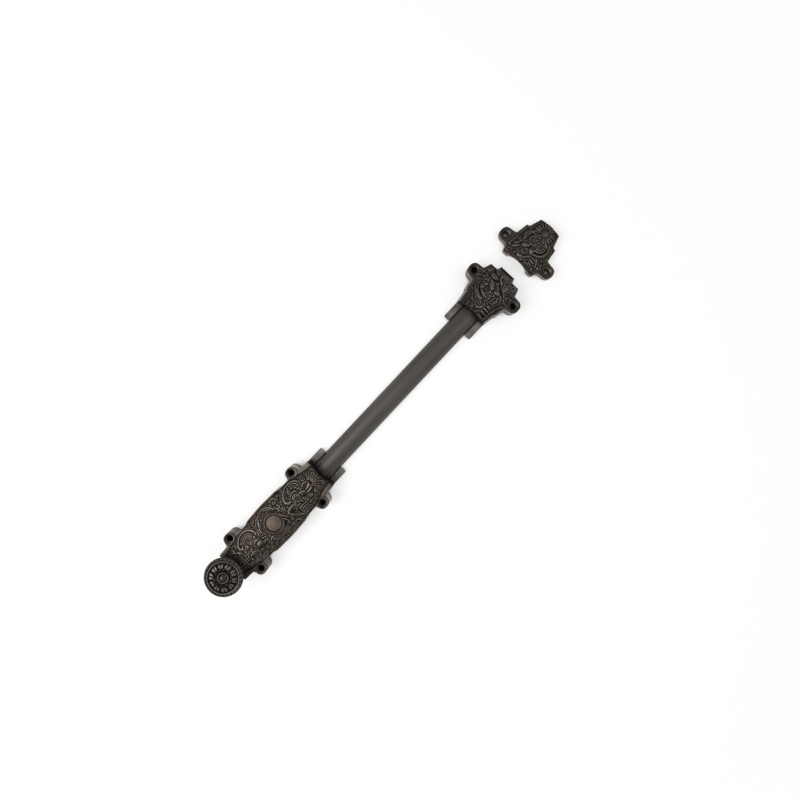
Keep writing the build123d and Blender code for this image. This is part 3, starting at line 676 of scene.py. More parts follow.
    # lobed leaf that points to the guide
    r.stroke([(28.0, 0.8), (30.2, 0.3), (32.2, -0.8)], (0.5, 0.9, 0.5), 1.0, crease=0.1)
    r.stroke([(32.4, 2.8), (34.6, 3.9), (37.0, 3.2)], (0.4, 0.9, 0.4), 0.95, crease=0.1)
    r.stroke([(33.4, -0.6), (35.6, -0.5), (37.8, 0.9)], (0.5, 1.0, 0.5), 1.05, crease=0.1)
    r.stroke([(32.2, -2.6), (34.8, -2.9), (37.4, -2.2)], (0.4, 0.8, 0.6), 1.0)
    r.cut([(28.3, -2.2), (30.4, -3.6), (33.0, -3.6), (36.4, -4.3), (38.4, -3.0), (39.2, -0.4), (39.0, 2.6)],
          0.38, 0.6)
    r.fan(37.6, 0.6, 3.0, 8.2, -62, 62, 9, 0.62, 0.85)
    r.stroke(arc(37.0, 7.0, 1.9, 60, 300), 0.4, 0.75)
    r.bud(37.2, 7.2, 1.0, 0.9, 0, 0.7)
    # lower field of the guide end
    r.stroke([(12.6, -3.6), (14.2, -2.2), (17.6, -1.7), (21.2, -2.2)], (0.8, 1.0, 0.5), 1.0)
    r.stroke([(13.2, -5.4), (15.2, -8.4), (17.6, -11.0), (20.0, -13.0)], (0.9, 1.6, 0.4), 0.95)
    for k, y in enumerate((-6.8, -8.7, -10.6, -12.5)):
        r.stroke([(20.0 - 0.2 * k, y - 0.6), (23.0, y + 0.1), (26.6, y - 0.3)], 0.42, 0.75)
    r.ring(28.6, -6.5, 1.9, 0.3)
    r.bud(28.6, -6.5, 1.1, 1.0, 0, 0.9)
    r.ring(12.6, -12.4, 2.2, 0.3)
    r.bud(13.7, -12.5, 1.0, 1.0, 0, 0.95)
    for x, y, size in ((33.0, -6.2, 1.2), (37.4, -6.8, 1.4), (41.2, -6.6, 1.5)):
        r.stroke(volute(x, y, size, 0.4, 90, 420), (0.3, 0.42, 0.35), 0.8)
    r.stroke([(28.0, -9.6), (30.0, -9.0), (32.6, -8.8)], 0.4, 0.7)
    r.fill(case_crown, 4, 900)
    r.fill(case_crown, 5, 900, sizes=(0.5, 0.75))
    # painted shadow of the knob on the end under it
    r.painted_light -= 0.42 * ramp(r.x, -36.5, -5.0)[:, None]
    return r


def rows(items, field, width=3, kind=float):
    """What a mesh says of its points, edges or faces, a row for each."""
    values = np.empty(len(items) * width, kind)
    items.foreach_get(field, values)
    return values.reshape(-1, width)


def put_back(mesh, places):
    """Moves the points of a mesh to their new places."""
    mesh.vertices.foreach_set("co", (places * mm).ravel())
    mesh.update()


def store_wear_and_light(mesh, places, wear_and_light):
    """Keeps how light each point is, from rubbing and painted light: what is given, more on edges, less in
    corners.
    """
    a, b = rows(mesh.edges, "vertices", 2, int).T
    total = np.zeros(places.shape)
    links = np.zeros(len(places))
    for one, other in ((a, b), (b, a)):
        np.add.at(total, one, places[other])
        np.add.at(links, one, 1)
    bulge = -np.einsum("ij,ij->i", total / links[:, None] - places, rows(mesh.vertices, "normal"))
    value = np.clip(wear_and_light + 4.0 * np.clip(bulge, -0.08, 0.08), 0, 1)
    attribute = mesh.attributes.new("lightened", "FLOAT", "POINT")
    attribute.data.foreach_set("value", value.astype(np.float32))


def fine_skin(name, node):
    """A copy of the plain casting with an even, fine skin and softened edges."""
    body = bpy.data.objects.new(name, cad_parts[node].data.copy())
    body.data.materials.clear()
    bpy.context.scene.collection.objects.link(body)
    pick(body)
    bpy.ops.object.mode_set(mode="EDIT")
    bpy.ops.mesh.select_all(action="SELECT")
    bpy.ops.mesh.remove_doubles(threshold=2e-6)
    bpy.ops.object.mode_set(mode="OBJECT")
    remesh = body.modifiers.new("skin", "REMESH")
    remesh.mode = "VOXEL"
    remesh.voxel_size = skin_step * mm
    bpy.ops.object.modifier_apply(modifier=remesh.name)
    smooth = body.modifiers.new("soft_edges", "SMOOTH")
    smooth.factor = 0.5
    smooth.iterations = 3
    bpy.ops.object.modifier_apply(modifier=smooth.name)
    return body


def split_top(mesh, flange):
    """Splits the faces of the crown and the flange in four, so that they can take the carving."""
    bpy.ops.object.mode_set(mode="EDIT")
    bpy.ops.mesh.select_all(action="DESELECT")
    bpy.ops.object.mode_set(mode="OBJECT")
    heights = rows(mesh.polygons, "center")[:, 2] / mm
    top = (heights > flange - flange_edge) & (rows(mesh.polygons, "normal")[:, 2] > 0.25)
    mesh.polygons.foreach_set("select", top)
    bpy.ops.object.mode_set(mode="EDIT")
    bpy.ops.mesh.subdivide(number_cuts=1, smoothness=0)
    bpy.ops.object.mode_set(mode="OBJECT")


def cast_body(name, node, relief, crown, ears, flange, shaded_end=None, foot_line=0.0, flat_wear=0.5,
              wall_light=(0.9, 0.9), corner_light=0.0):
    """The casting: fine skin, carved crown, lines round its foot and its holes, and how light it is from
    rubbing and painted light.
    """
    body = fine_skin(name, node)
    mesh = body.data
    split_top(mesh, flange)
    places = rows(mesh.vertices, "co") / mm
    facing = rows(mesh.vertices, "normal")
    x, y, z = places.T
    up = ramp(facing[:, 2], 0.25, 0.3) * (z > flange - flange_edge)
    inset = half_at(crown, x) - np.abs(y)
    along = np.minimum(x - relief.ends[0], relief.ends[1] - x)
    from_hole = np.min([np.hypot(x - ear_x, y - ear_y) for ear_x, ear_y in ears], axis=0)

    carved = ramp(inset, 0, 0.5) * ramp(along, 0, 0.5) * up
    foot = foot_line * ridge(inset, -0.1, 0.4) * up * ramp(along, 0, 0.7)
    lift = carved * (relief.read(relief.height, x, y) - carving_ground) - foot
    lift += up * (0.3 * ridge(from_hole, sunk_lip, 0.4) - 0.28 * ridge(from_hole, sunk_groove, 0.3))
    places[:, 2] += lift
    put_back(mesh, places)

    # wear and painted light: by height on the crown, with its painted highlights and the knob's painted
    # shadow; painted light on walls and flats by what they face; painted shade and glints in the holes
    cavity_and_painted_light = relief.read(relief.height - relief.blurred(1.3), x, y) * 0.75 + relief.read(relief.painted_light, x, y)
    on_crown = ramp(inset, -0.2, 0.4) * up
    # painted light: walls facing +Y, towards the lamp, are painted lighter, and the other walls lighter
    # from the knob's end towards the guide's end
    wall_facing_light = (facing[:, 1] > 0.2) & (from_hole > ear_radius)
    wall = np.where(wall_facing_light, wall_light[1], np.interp(x, [-40, 30], wall_light))
    # painted light: the flat on the +Y side at the guide's end is painted lighter, as it is lit
    flat = flat_wear + corner_light * ramp(y, 0, 8) * ramp(x, 20, 12)
    plain = np.where(np.abs(facing[:, 2]) > 0.6, flat, wall)
    plain = plain - 0.12 * up * ramp(from_hole, ear_radius, -0.8)
    # painted shade deep in the screw holes, and painted glints on hole walls that face +Y or -X
    hole_shade_and_glint = np.interp(from_hole, [2.0, 2.3, sunk_radius], [0.06, 0.42, 0.5])
    hole_shade_and_glint += 0.7 * np.clip(facing[:, 1] - 0.2, 0, 1) + 0.8 * np.clip(-facing[:, 0] - 0.2, 0, 1)
    plain = np.where(from_hole < sunk_radius, hole_shade_and_glint, plain)
    wear_and_light = on_crown * (0.42 + np.clip(cavity_and_painted_light, -0.42, 0.42)) + (1 - on_crown) * plain - foot
    # painted shade: faces square to the rod within the shaded end are painted near black
    if shaded_end:
        at_shaded_end = (np.abs(facing[:, 0]) > 0.3) & (x > shaded_end[0]) & (x < shaded_end[1])
        wear_and_light = np.where(at_shaded_end, 0.08, wear_and_light)
    store_wear_and_light(mesh, places, wear_and_light)
    bpy.ops.object.shade_smooth()
    return body


def cast_finish(name, pit, patina, high):
    """Sand-cast metal: black in the recesses and where shade is painted, brown on the flats, light on the
    ridges from use, with painted light on the walls and pale painted highlights.
    """
    finish = Finish(name, 0.9)
    lightened = finish.node("ShaderNodeAttribute", {"attribute_name": "lightened"}, output="Fac")
    cloud = finish.grain(5.5, detail=5.0)
    sand = finish.grain(0.32, detail=3.0)
    patch = finish.grain(1.3, detail=4.0, rough=0.65)
    tint = finish.grain(3.4, detail=3.0)
    mottled_wear_and_light = lightened + 0.22 * (cloud - 0.5) + 0.3 * (patch - 0.5)
    flat = finish.mix(finish.band(cloud, 0.35, 0.68), patina, tone(72, 65, 61))
    flat = finish.mix(finish.band(tint, 0.5, 0.66) * 0.6, flat, tone(62, 62, 48))
    flat = finish.mix(finish.band(0.98 - tint, 0.5, 0.66) * 0.6, flat, tone(74, 61, 60))
    dark = finish.mix(finish.band(mottled_wear_and_light, 0.16, 0.5), pit, flat)
    wiped_and_lit = finish.mix(finish.band(mottled_wear_and_light, 0.5, 0.92), dark, high)
    # painted highlights: where the value is highest, on walls facing the light, lit hole walls and the
    # highest ridges, a pale glint colour
    finish.colour(finish.mix(finish.band(lightened, 0.9, 1.0), wiped_and_lit, tone(150, 141, 131)))
    finish.roughness(0.54 - 0.22 * lightened + 0.12 * patch)
    finish.bump(sand, 0.02, finish.bump(patch, 0.035))
    return finish


case_bronze = cast_finish("case_bronze", tone(26, 21, 18), tone(58, 52, 46), tone(116, 107, 97))
case_casting = cast_body("case_casting", "case_cover", draw_case(), case_crown, case_ears, case_flange,
                         case_shaded_end, foot_line=0.3, flat_wear=0.62, wall_light=(0.7, 0.98),
                         corner_light=0.13)
case_casting.data.materials.append(case_bronze.material)
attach(case_casting, "fixed")
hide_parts("case_cover")


# Knob: a cast rosette 28 mm across. Round its rim run 28 small blocks, then a smooth ring, and
# inside ten double petals spread from a raised hub. It sits on the stem and is bored for the screw
# that holds it.
knob_low, knob_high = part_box("knob_head")
knob_middle = (knob_low + knob_high) / 2
knob_rim = (knob_high.x - knob_low.x) / 2 / mm
knob_under = knob_low.z / mm
knob_thick = 5.7
knob_over = knob_under + knob_thick
knob_petals = 10
knob_blocks = 28
knob_steps = 560
knob_bore = 1.45
knob_socket = 2.7
knob_socket_top = 18.8
petal_zone = (4.45, 10.75)
petal_gap_at = 70.0
rim_from = 11.95


def knob_profile():
    """Radius and height of each ring of the knob, up the bore, out over the face and under."""
    over, under = knob_over, knob_under
    face = [(knob_bore, knob_socket_top), (knob_bore, over - 0.5), (2.0, over - 0.5), (2.9, over - 0.5),
            (3.1, over + 0.1), (3.3, over + 0.4), (3.7, over + 0.5), (4.0, over + 0.35), (4.2, over - 0.1),
            (4.4, over - 0.5)]
    petals = []
    for k in range(1, 37):
        swell = math.sin(math.pi * min(1.0, k / 30)) ** 0.7
        petals.append((4.4 + 0.17 * k, over - 0.45 + 0.45 * swell))
    rim = [(10.75, over - 0.9), (10.95, over - 0.75), (11.1, over - 0.2), (11.35, over + 0.05),
           (11.65, over), (11.9, over - 0.3), (12.05, over - 0.45), (12.2, over - 0.3)]
    rolled = []
    for k in range(13):
        angle = math.radians(100 - 15 * k)
        rolled.append((knob_rim - 1.0 + math.cos(angle), over - 1.25 + 1.1 * math.sin(angle)))
    below = [(knob_rim - 0.6, under + 2.8), (0.8 * knob_rim, under + 1.7), (0.6 * knob_rim, under + 0.8),
             (0.4 * knob_rim, under + 0.3), (3.5, under), (knob_socket, under),
             (knob_socket, knob_socket_top), (knob_bore, knob_socket_top)]
    return face + petals + rim + rolled + below


def model_knob():
    """A circle, extruded ring after ring along the profile."""
    profile = knob_profile()
    bpy.ops.object.select_all(action="DESELECT")
    start = (knob_middle.x, knob_middle.y, profile[0][1] * mm)
    bpy.ops.mesh.primitive_circle_add(vertices=knob_steps, radius=profile[0][0] * mm, location=start)
    knob = bpy.context.active_object
    knob.name = "rosette_knob"
    bpy.ops.object.transform_apply(location=True, rotation=False, scale=False)
    bpy.ops.object.mode_set(mode="EDIT")
    bpy.ops.mesh.select_all(action="SELECT")
    for (r0, z0), (r1, z1) in zip(profile, profile[1:]):
        bpy.ops.mesh.extrude_region_move(TRANSFORM_OT_translate={"value": (0, 0, (z1 - z0) * mm)})
        bpy.ops.transform.resize(value=(r1 / r0, r1 / r0, 1), center_override=tuple(knob_middle))
    bpy.ops.mesh.select_all(action="SELECT")
    bpy.ops.mesh.remove_doubles(threshold=1e-6)
    bpy.ops.mesh.normals_make_consistent(inside=False)
    bpy.ops.object.mode_set(mode="OBJECT")
    return knob


def carve_knob(knob):
    """Pairs of petals, a bead between the pairs, and the shallow blocks of the rim."""
    mesh = knob.data
    places = rows(mesh.vertices, "co") / mm
    x = places[:, 0] - knob_middle.x / mm
    y = places[:, 1] - knob_middle.y / mm
    radius = np.hypot(x, y)
    turn = (np.degrees(np.arctan2(y, x)) - petal_gap_at) % 360
    face = places[:, 2] > knob_over - 1.6
    zone = face & (radius > petal_zone[0]) & (radius < petal_zone[1])

    # a pair of petals fills each of ten slightly uneven sectors, with a low web between the two
    sector = (turn + 2.4 * np.sin(np.radians(3 * turn + 40))) / (360 / knob_petals)
    pair = np.abs(2 * (sector % 1) - 1)
    half = 0.4 * np.maximum(ramp(radius, 4.2, 3.6), 0.45)
    across = (pair - half) / half
    web = 0.55 * ramp(half - pair, 0, 0.1)
    crest = np.maximum(np.sqrt(np.clip(1 - across ** 4, 0, 1)), web)
    tip = 10.6 - 0.9 * np.clip(np.abs(across), 0, 1) ** 2
    body = np.sqrt(ramp(tip - radius, 0, 1.2)) * ramp(radius, 5.3, 1.6)
    small = 2 * ((sector + 0.5) % 1) - 1
    bead = np.sqrt(np.clip(1 - (small / 0.42) ** 2 - ((radius - 5.7) / 0.95) ** 2, 0, 1))
    block = np.abs(2 * ((turn / (360 / knob_blocks)) % 1) - 1)
    gap = face * (radius > rim_from) * ramp(block, 0.7, 0.25)
    toward = ridge(radius, 12.5, 0.45)
    places[:, 2] += zone * (1.15 * body * crest - 0.35 + 0.75 * bead)
    places[:, 2] -= gap * (0.28 + 0.2 * toward) * ramp(radius, rim_from, 0.2)
    put_back(mesh, places)

    # wear: bright on the petals and the smooth ring, dark in the grooves between the rings, and painted
    # shade on the underside
    bright = zone * (0.56 * body * crest ** 2 * ramp(radius, 5.2, 2.8) + 0.3 * bead - 0.22)
    groove = ridge(radius, 10.8, 0.35) + ridge(radius, 4.5, 0.35) + ridge(radius, 2.75, 0.3)
    groove += 0.8 * ridge(radius, 12.05, 0.25)
    wear_and_light = 0.44 + bright + face * (0.3 * ridge(radius, 11.3, 0.25) - 0.45 * groove)
    wear_and_light -= gap * (0.26 + 0.15 * toward)
    # painted shade: the lowest 2 mm of the knob, its underside, is painted darker
    store_wear_and_light(mesh, places, np.clip(wear_and_light, 0, 0.9) - 0.15 * (places[:, 2] < knob_under + 2.0))
    bpy.ops.object.shade_smooth()


knob_bronze = cast_finish("knob_bronze", tone(24, 20, 17), tone(58, 51, 46), tone(106, 98, 90))
rosette_knob = model_knob()
carve_knob(rosette_knob)
rosette_knob.data.materials.append(knob_bronze.material)
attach(rosette_knob, "bolt")
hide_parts("knob_head")


# Stem, collar and cap screw: the turned stem stands on the rod in its collar and carries the knob,
# and the domed screw in the middle of the rosette holds it on. All three are turned from bar.
def turned_finish():
    """Stem, collar and cap screw: turned, coloured dark, with faint rings from the lathe."""
    finish = Finish("turned_bronze", 0.9)
    cloud = finish.grain(2.6, detail=4.0)
    rings = finish.grain(0.22, detail=2.0, stretch=(0.05, 0.05, 1.0))
    finish.colour(finish.mix(finish.band(cloud, 0.36, 0.66), tone(62, 55, 50), tone(84, 76, 70)))
    finish.roughness(0.36 + 0.16 * cloud)
    finish.bump(rings, 0.012)
    return finish


turned_bronze = turned_finish()
for turned_part in ("knob_stem", "knob_collar", "knob_cap_screw"):
    dress(turned_part, turned_bronze)


# Guide: a second casting that the rod runs through, carved like the case, narrow at its throat
# and wide at its mouth, with two screw lugs. Its back plate reaches back beside the rod.
guide_ends = (209.2, 245.2)
guide_flange = 11.2
guide_crown = ([209.2, 219.0, 219.8, 227.5, 229.2, 233.6, 238.0, 239.6, 245.2],
               [11.5, 13.0, 14.0, 15.3, 16.3, 15.8, 16.3, 15.0, 13.4])
guide_lugs = [(233.6, -19.4), (233.6, 19.4)]
# the throat's end face is painted near black for its shade
guide_shaded_end = (208.2, 210.2)


def draw_guide():
    """The drawing of the guide, from its throat to its mouth."""
    r = Relief(guide_ends, 25.0, (-0.8, -0.5), stretch=1.04, field=0.3, weight=1.3)
    # border bands along both edges
    r.stroke([(210, 11.2), (215, 11.5), (219, 12.5), (224, 14.3), (229, 15.6)], 0.75, 0.5)
    r.stroke([(210, 9.3), (214.5, 9.7), (218.5, 10.7)], 0.9, 0.55)
    r.stroke([(210, -9.2), (215, -9.7), (220, -10.5), (224, -11.6), (227.5, -13.6), (229, -16)], 0.8, 0.8)
    r.stroke([(210, -11), (215, -11.4), (219, -12.3), (224, -13.6)], 0.65, 0.6)
    # throat: swellings, an oval eye, flutes and a smooth block beside them
    r.bud(213.2, 3.6, 1.8, 1.1, 25, 0.8, painted_light=0.1)
    r.bud(210.6, 2.0, 0.9, 1.6, 0, 0.8)
    r.bud(213.0, 7.6, 2.4, 1.2, -8, 0.7)
    r.bud(217.4, 7.4, 1.1, 1.7, -20, 0.8)
    r.stroke(arc(217.1, 1.9, 2.2, 0, 360, flat=0.75), 0.55, 0.85)
    r.bud(217.2, 1.9, 1.0, 0.7, 0, 0.9, painted_light=0.1)
    r.stroke([(214.4, 0.6), (215.6, -1.0), (217.4, -2.4)], (0.5, 0.7, 0.4), 0.95, painted_light=0.2)
    r.stroke([(210.0, -0.4), (211.6, -0.8), (213.4, -2.6)], (0.5, 0.9, 0.5), 0.8)
    r.bud(219.2, -2.0, 1.0, 1.3, 0, 0.7)
    r.bud(221.4, -0.9, 0.6, 1.2, 0, 0.7)
    for x, half in ((211.3, 0.9), (214.7, 0.75), (217.3, 0.6)):
        widths = (0.7 * half, half, 0.7 * half)
        r.stroke([(x, -4.2), (x + 0.1, -6.2), (x + 0.2, -8.2)], widths, 0.95, ditch=0.6)
    r.bud(220.3, -6.4, 1.25, 1.7, 0, 1.05, ditch=0.7, painted_light=0.3)
    for x in (213.1, 216.1, 218.5, 222.2):
        r.cut([(x - 0.2, -4.7), (x + 0.2, -7.8)], 0.42, 0.6)
    # broad leaves at the left of the eye
    r.stroke([(220.8, 2.4), (221.2, 5.0), (222.6, 8.0), (225.2, 10.8), (228.6, 12.6)],
             (0.9, 1.5, 0.7), 0.95, painted_light=0.12)
    r.stroke([(223.5, 2.0), (224.7, 4.2), (226.2, 6.4)], (0.6, 1.1, 0.5), 0.9, painted_light=0.1)
    r.cut([(222.6, 3.0), (223.9, 6.2), (226.2, 9.2), (228.4, 11.0)], 0.4, 0.6)
    # the eye, ringed, with rays under it
    r.stroke(arc(229.7, 7.2, 4.5, 150, -70), 0.65, 0.85, ditch=0.6)
    r.bud(228.3, 8.0, 2.1, 1.9, 30, 1.0, ditch=0.5, painted_light=0.1)
    r.bud(231.0, 6.9, 1.6, 0.95, -45, 1.05, painted_light=0.3)
    r.bud(235.8, 7.4, 0.6, 0.6, 0, 1.0, painted_light=0.5)
    for k in range(3):
        r.cut([(225.6 + 1.3 * k, 5.4 - 0.8 * k), (227.6 + 1.3 * k, 3.4 - 0.8 * k)], 0.28, 0.5)
    # smooth leaf and smooth drop in the middle, a deep groove beside them
    r.stroke([(231.2, 1.2), (233.1, 3.2), (235.4, 5.4)], (1.0, 1.7, 0.8), 1.1, ditch=0.7, painted_light=0.22)
    r.bud(231.0, -3.8, 1.55, 2.5, 8, 1.15, ditch=0.7, painted_light=0.28)
    for x, y in ((226.4, -1.4), (228.6, 0.6), (224.4, -1.8), (223.8, 0.6), (228.0, -3.2)):
        r.bud(x, y, 0.75, 0.7, 0, 0.85, painted_light=0.1)
    r.stroke([(223.0, -3.9), (226.2, -4.5), (229.0, -5.4)], (0.4, 0.6, 0.3), 0.8)
    r.cut([(236.4, -1.4), (234.4, -4.6), (231.8, -8.2)], 0.65, 0.8)
    # framed oblong with three inner swellings
    r.stroke([(223.2, -5.2), (223.1, -7.6), (224.4, -9.3), (227.0, -9.9), (229.6, -9.0), (231.2, -7.2)],
             0.6, 0.75)
    for x, y, along, over in ((224.9, -7.1, 0.7, 1.2), (226.7, -7.5, 0.6, 1.0), (228.7, -6.7, 1.1, 0.75)):
        r.bud(x, y, along, over, -20, 0.9, painted_light=0.15)
    # mouth: deep groove round a long oval, a crescent, slanted ridges, a curl
    r.bud(239.5, 6.0, 1.7, 3.5, -4, 0.85)
    for y in (3.8, 5.4, 7.0, 8.4):
        r.cut([(238.6, y - 0.5), (240.2, y + 0.4)], 0.22, 0.4)
    r.cut([(238.6, 10.6), (237.0, 8.2), (236.8, 5.0), (237.5, 2.0), (239.7, -0.2)], 0.5, 0.8)
    r.cut([(241.0, 2.6), (241.3, 5.6), (242.4, 8.2), (244.0, 9.6)], 0.42, 0.7)
    r.stroke([(238.4, -2.0), (239.8, 0.6), (242.0, 1.6), (243.8, 0.4)], (0.5, 0.7, 0.3), 0.95)
    r.bud(242.6, 5.4, 0.8, 2.0, -12, 0.8)
    r.bud(241.4, 11.6, 2.2, 1.5, -25, 0.85, painted_light=0.08)
    for k in range(4):
        leaf = [(235.2 + k, -6.8 - 0.3 * k), (237.6 + k, -4.7 - 0.4 * k), (239.6 + 0.7 * k, -3.2 - 0.8 * k)]
        r.stroke(leaf, (0.3, 0.48, 0.3), 0.9, ditch=0.4, painted_light=0.1 * (k % 2))
    r.bud(241.3, -6.9, 0.7, 0.7, 0, 1.0, painted_light=0.4)
    r.stroke(volute(241.4, -10.8, 2.5, 0.7, 120, -420), (0.5, 0.65, 0.45), 0.95)
    r.bud(242.1, -11.0, 0.6, 0.6, 0, 1.0, painted_light=0.35)
    # roots of the lugs
    for x, y, turn in ((231.6, 13.4, 60), (234.4, 12.0, 20), (237.0, 14.4, -30), (232.6, 15.6, 0)):
        r.bud(x, y, 1.5, 0.85, turn, 0.75)
    for x, y in ((233.2, 13.2), (236.0, 12.9), (238.6, 12.4)):
        r.cut([(x - 0.7, y + 0.5), (x + 0.6, y - 0.5)], 0.36, 0.5)
    r.stroke([(231.4, -10.6), (229.9, -13.0), (230.6, -15.6)], (0.5, 0.7, 0.5), 0.8)
    for x, y, turn in ((233.4, -11.6, 50), (234.8, -14.4, -20), (238.4, -14.4, 30), (232.4, -15.8, 0)):
        r.bud(x, y, 1.4, 0.8, turn, 0.75)
    for x, y in ((235.8, -11.0), (237.2, -10.8), (236.6, -13.2)):
        r.cut([(x - 0.2, y + 0.8), (x + 0.2, y - 0.8)], 0.34, 0.6)
    r.fill(guide_crown, 11, 1500, sizes=(0.6, 1.1))
    return r


guide_bronze = cast_finish("guide_bronze", tone(22, 19, 16), tone(54, 49, 45), tone(96, 90, 83))
guide_casting = cast_body("guide_casting", "guide_cover", draw_guide(), guide_crown, guide_lugs,
                          guide_flange, guide_shaded_end)
guide_casting.data.materials.append(guide_bronze.material)
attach(guide_casting, "fixed")
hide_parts("guide_cover")
dress("guide_back_plate", milled_plate)


# Strike: the loose casting on the frame that takes the tip of the rod. It is low, with a socket
# open at the mouth and the back, two screw lugs and a stepped, tapered tail, carved all over.
strike_ends = (260.2, 298.0)
strike_flange = 5.2
strike_crown = ([260.2, 265.0, 266.6, 270.8, 275.0, 276.6, 285.9, 286.9, 297.0],
                [14.2, 15.4, 16.8, 17.0, 16.8, 15.5, 14.2, 11.8, 9.2])
strike_lugs = [(270.8, -20.9), (270.8, 20.9)]


def draw_strike():
    """The drawing of the strike, from its mouth to its tail."""
    r = Relief(strike_ends, 26.0, (1.4, 0.35), field=0.3, weight=1.3)
    # plain bands along the edges
    for band in ([(276, 13.6), (280, 13.7), (284.2, 12.8)], [(277, -13.6), (281, -13.4), (284, -12.5)],
                 [(286.6, 9.5), (291, 8.9), (295.2, 7.9)], [(286, -10.6), (290.6, -10.1), (295, -8.8)],
                 [(295.6, 6.6), (296.2, 0), (295.8, -7.4)], [(259.5, -3.4), (259.6, -8), (259.9, -13.6)]):
        r.stroke(band, 0.95, 0.55, ditch=0.3)
    # curl, small knots and a four-pointed star by the mouth
    r.stroke(volute(262.5, 11.3, 2.3, 0.7, 200, -400), (0.5, 0.65, 0.5), 0.9)
    for x, y in ((259.8, 9.2), (261.4, 9.0), (260.4, 6.0), (265.2, 6.2), (259.4, 3.4)):
        r.bud(x, y, 0.75, 0.65, 20, 0.8)
    for x, y in ((259.0, 8.2), (260.6, 9.8), (262.4, 6.0), (263.8, 8.6)):
        r.cut([(x - 0.4, y), (x + 0.4, y - 0.2)], 0.4, 0.5)
    r.stroke([(260.6, -0.4), (263.4, 0.9), (266.0, 3.4)], (0.3, 1.0, 0.35), 0.85)
    r.stroke([(262.2, 4.4), (263.5, 0.9), (264.2, -1.8)], (0.35, 1.0, 0.3), 0.9, painted_light=0.1)
    r.stroke([(263.8, -0.4), (266.0, -2.4), (268.8, -5.2)], (0.6, 0.8, 0.4), 0.95, ditch=0.6)
    r.cut([(260.2, -0.8), (261.8, -3.2), (264.0, -5.6)], 0.55, 0.8)
    r.stroke([(261.2, -3.4), (262.0, -5.6), (261.6, -8.6)], (0.5, 0.85, 0.5), 0.85)
    # beaded eye and slanted leaves
    r.stroke(arc(268.0, 2.0, 1.95, 0, 360), 0.5, 0.9)
    r.bud(268.0, 2.0, 0.8, 0.8, 0, 0.9)
    r.stroke([(265.4, 12.2), (267.2, 9.8), (269.4, 7.4)], (0.5, 0.85, 0.5), 0.95, ditch=0.6, painted_light=0.12)
    r.stroke([(268.2, 12.4), (270.2, 10.0), (273.4, 8.6), (276.0, 8.8)], (0.5, 0.75, 0.4), 0.9, ditch=0.6)
    r.stroke([(272.8, 6.8), (275.2, 5.4), (275.6, 2.6)], (0.4, 0.6, 0.4), 0.85)
    r.bud(271.7, 4.4, 3.1, 1.55, -66, 1.1, ditch=0.7, painted_light=0.25)
    r.bud(270.5, -2.6, 3.1, 1.55, 76, 1.15, ditch=0.7, painted_light=0.3)
    r.cut([(273.5, -3.3), (273.2, -5.6)], 0.95, 0.9)
    # beads and flutes under the star
    for x in (263.5, 265.7, 267.9):
        for y in (-6.1, -7.5, -8.9):
            r.bud(x, y, 0.7, 0.6, 0, 0.85, ditch=0.25)
    for x in (264.6, 266.8):
        r.cut([(x, -5.4), (x + 0.1, -9.8)], 0.34, 0.6)
    r.bud(262.3, -11.3, 1.5, 1.25, 10, 1.05, ditch=0.6, painted_light=0.32)
    r.stroke([(270.0, -8.0), (268.0, -10.8), (265.0, -12.6)], (0.4, 0.6, 0.4), 0.9)
    r.cut([(269.0, -10.8), (267.2, -12.3), (265.0, -13.6)], 0.36, 0.6)
    r.bud(266.4, -14.0, 1.05, 0.75, 15, 0.95, painted_light=0.3)
    # the great scroll, its shell and its bright head
    r.stroke(arc(278.2, -3.6, 5.2, 175, 320), (0.4, 0.65, 0.4), 0.8, ditch=0.4)
    r.stroke(arc(278.2, -3.6, 3.6, 185, 320), (0.4, 0.6, 0.4), 0.8, ditch=0.4)
    r.stroke(arc(278.2, -3.6, 8.1, 188, 312), (0.7, 1.0, 0.7), 0.95, ditch=0.7)
    r.cut(arc(278.2, -3.6, 6.5, 190, 300), 0.36, 0.5)
    r.stroke([(281.0, -8.6), (282.2, -6.4), (283.7, -4.8)], (0.6, 0.8, 0.6), 1.0, painted_light=0.12)
    r.bud(282.6, -3.5, 1.75, 1.5, 0, 1.15, ditch=0.6, painted_light=0.28)
    # ring over the shell, with small knots in it
    r.stroke(arc(278.2, 1.6, 3.7, 40, 260), 0.55, 0.85, ditch=0.5)
    for x, y in ((277.5, 2.0), (279.6, 0.4), (276.4, -1.2), (279.2, -2.0), (277.0, -3.2)):
        r.bud(x, y, 0.9, 0.75, 30, 0.85, ditch=0.3)
    # smooth comma leaf over a deep notch
    r.stroke([(275.4, 8.4), (278.6, 9.2), (281.6, 8.2), (283.2, 6.4)],
             (0.8, 1.9, 1.1), 1.0, ditch=0.6, painted_light=0.1)
    r.cut([(280.4, 6.4), (282.6, 4.3), (284.8, 6.0), (285.6, 7.8)], 0.55, 0.8)
    for x, y in ((282.6, 2.4), (283.8, 0.8), (282.2, 0.0), (284.6, -1.4)):
        r.bud(x, y, 0.7, 0.6, 40, 0.85)
    # smooth eye of the tail in a wreath of leaves, parted by deep slits
    r.fan(287.8, -0.5, 4.2, 7.4, -152, 152, 17, 0.85, 0.85)
    r.bud(287.8, -0.5, 3.3, 2.9, 0, 0.85, ditch=0.5, painted_light=0.1)
    for angle, near, far in ((132, 4.0, 7.0), (108, 4.4, 8.4), (84, 4.2, 8.0), (60, 4.4, 7.6),
                             (42, 4.6, 8.0), (24, 5.0, 8.0), (-40, 4.6, 8.0), (-56, 4.0, 8.6),
                             (-80, 4.2, 8.4), (-104, 4.2, 8.2), (-128, 4.2, 7.4)):
        r.cut([polar(287.8, -0.5, near, angle), polar(287.8, -0.5, far, angle)], 0.36, 0.7)
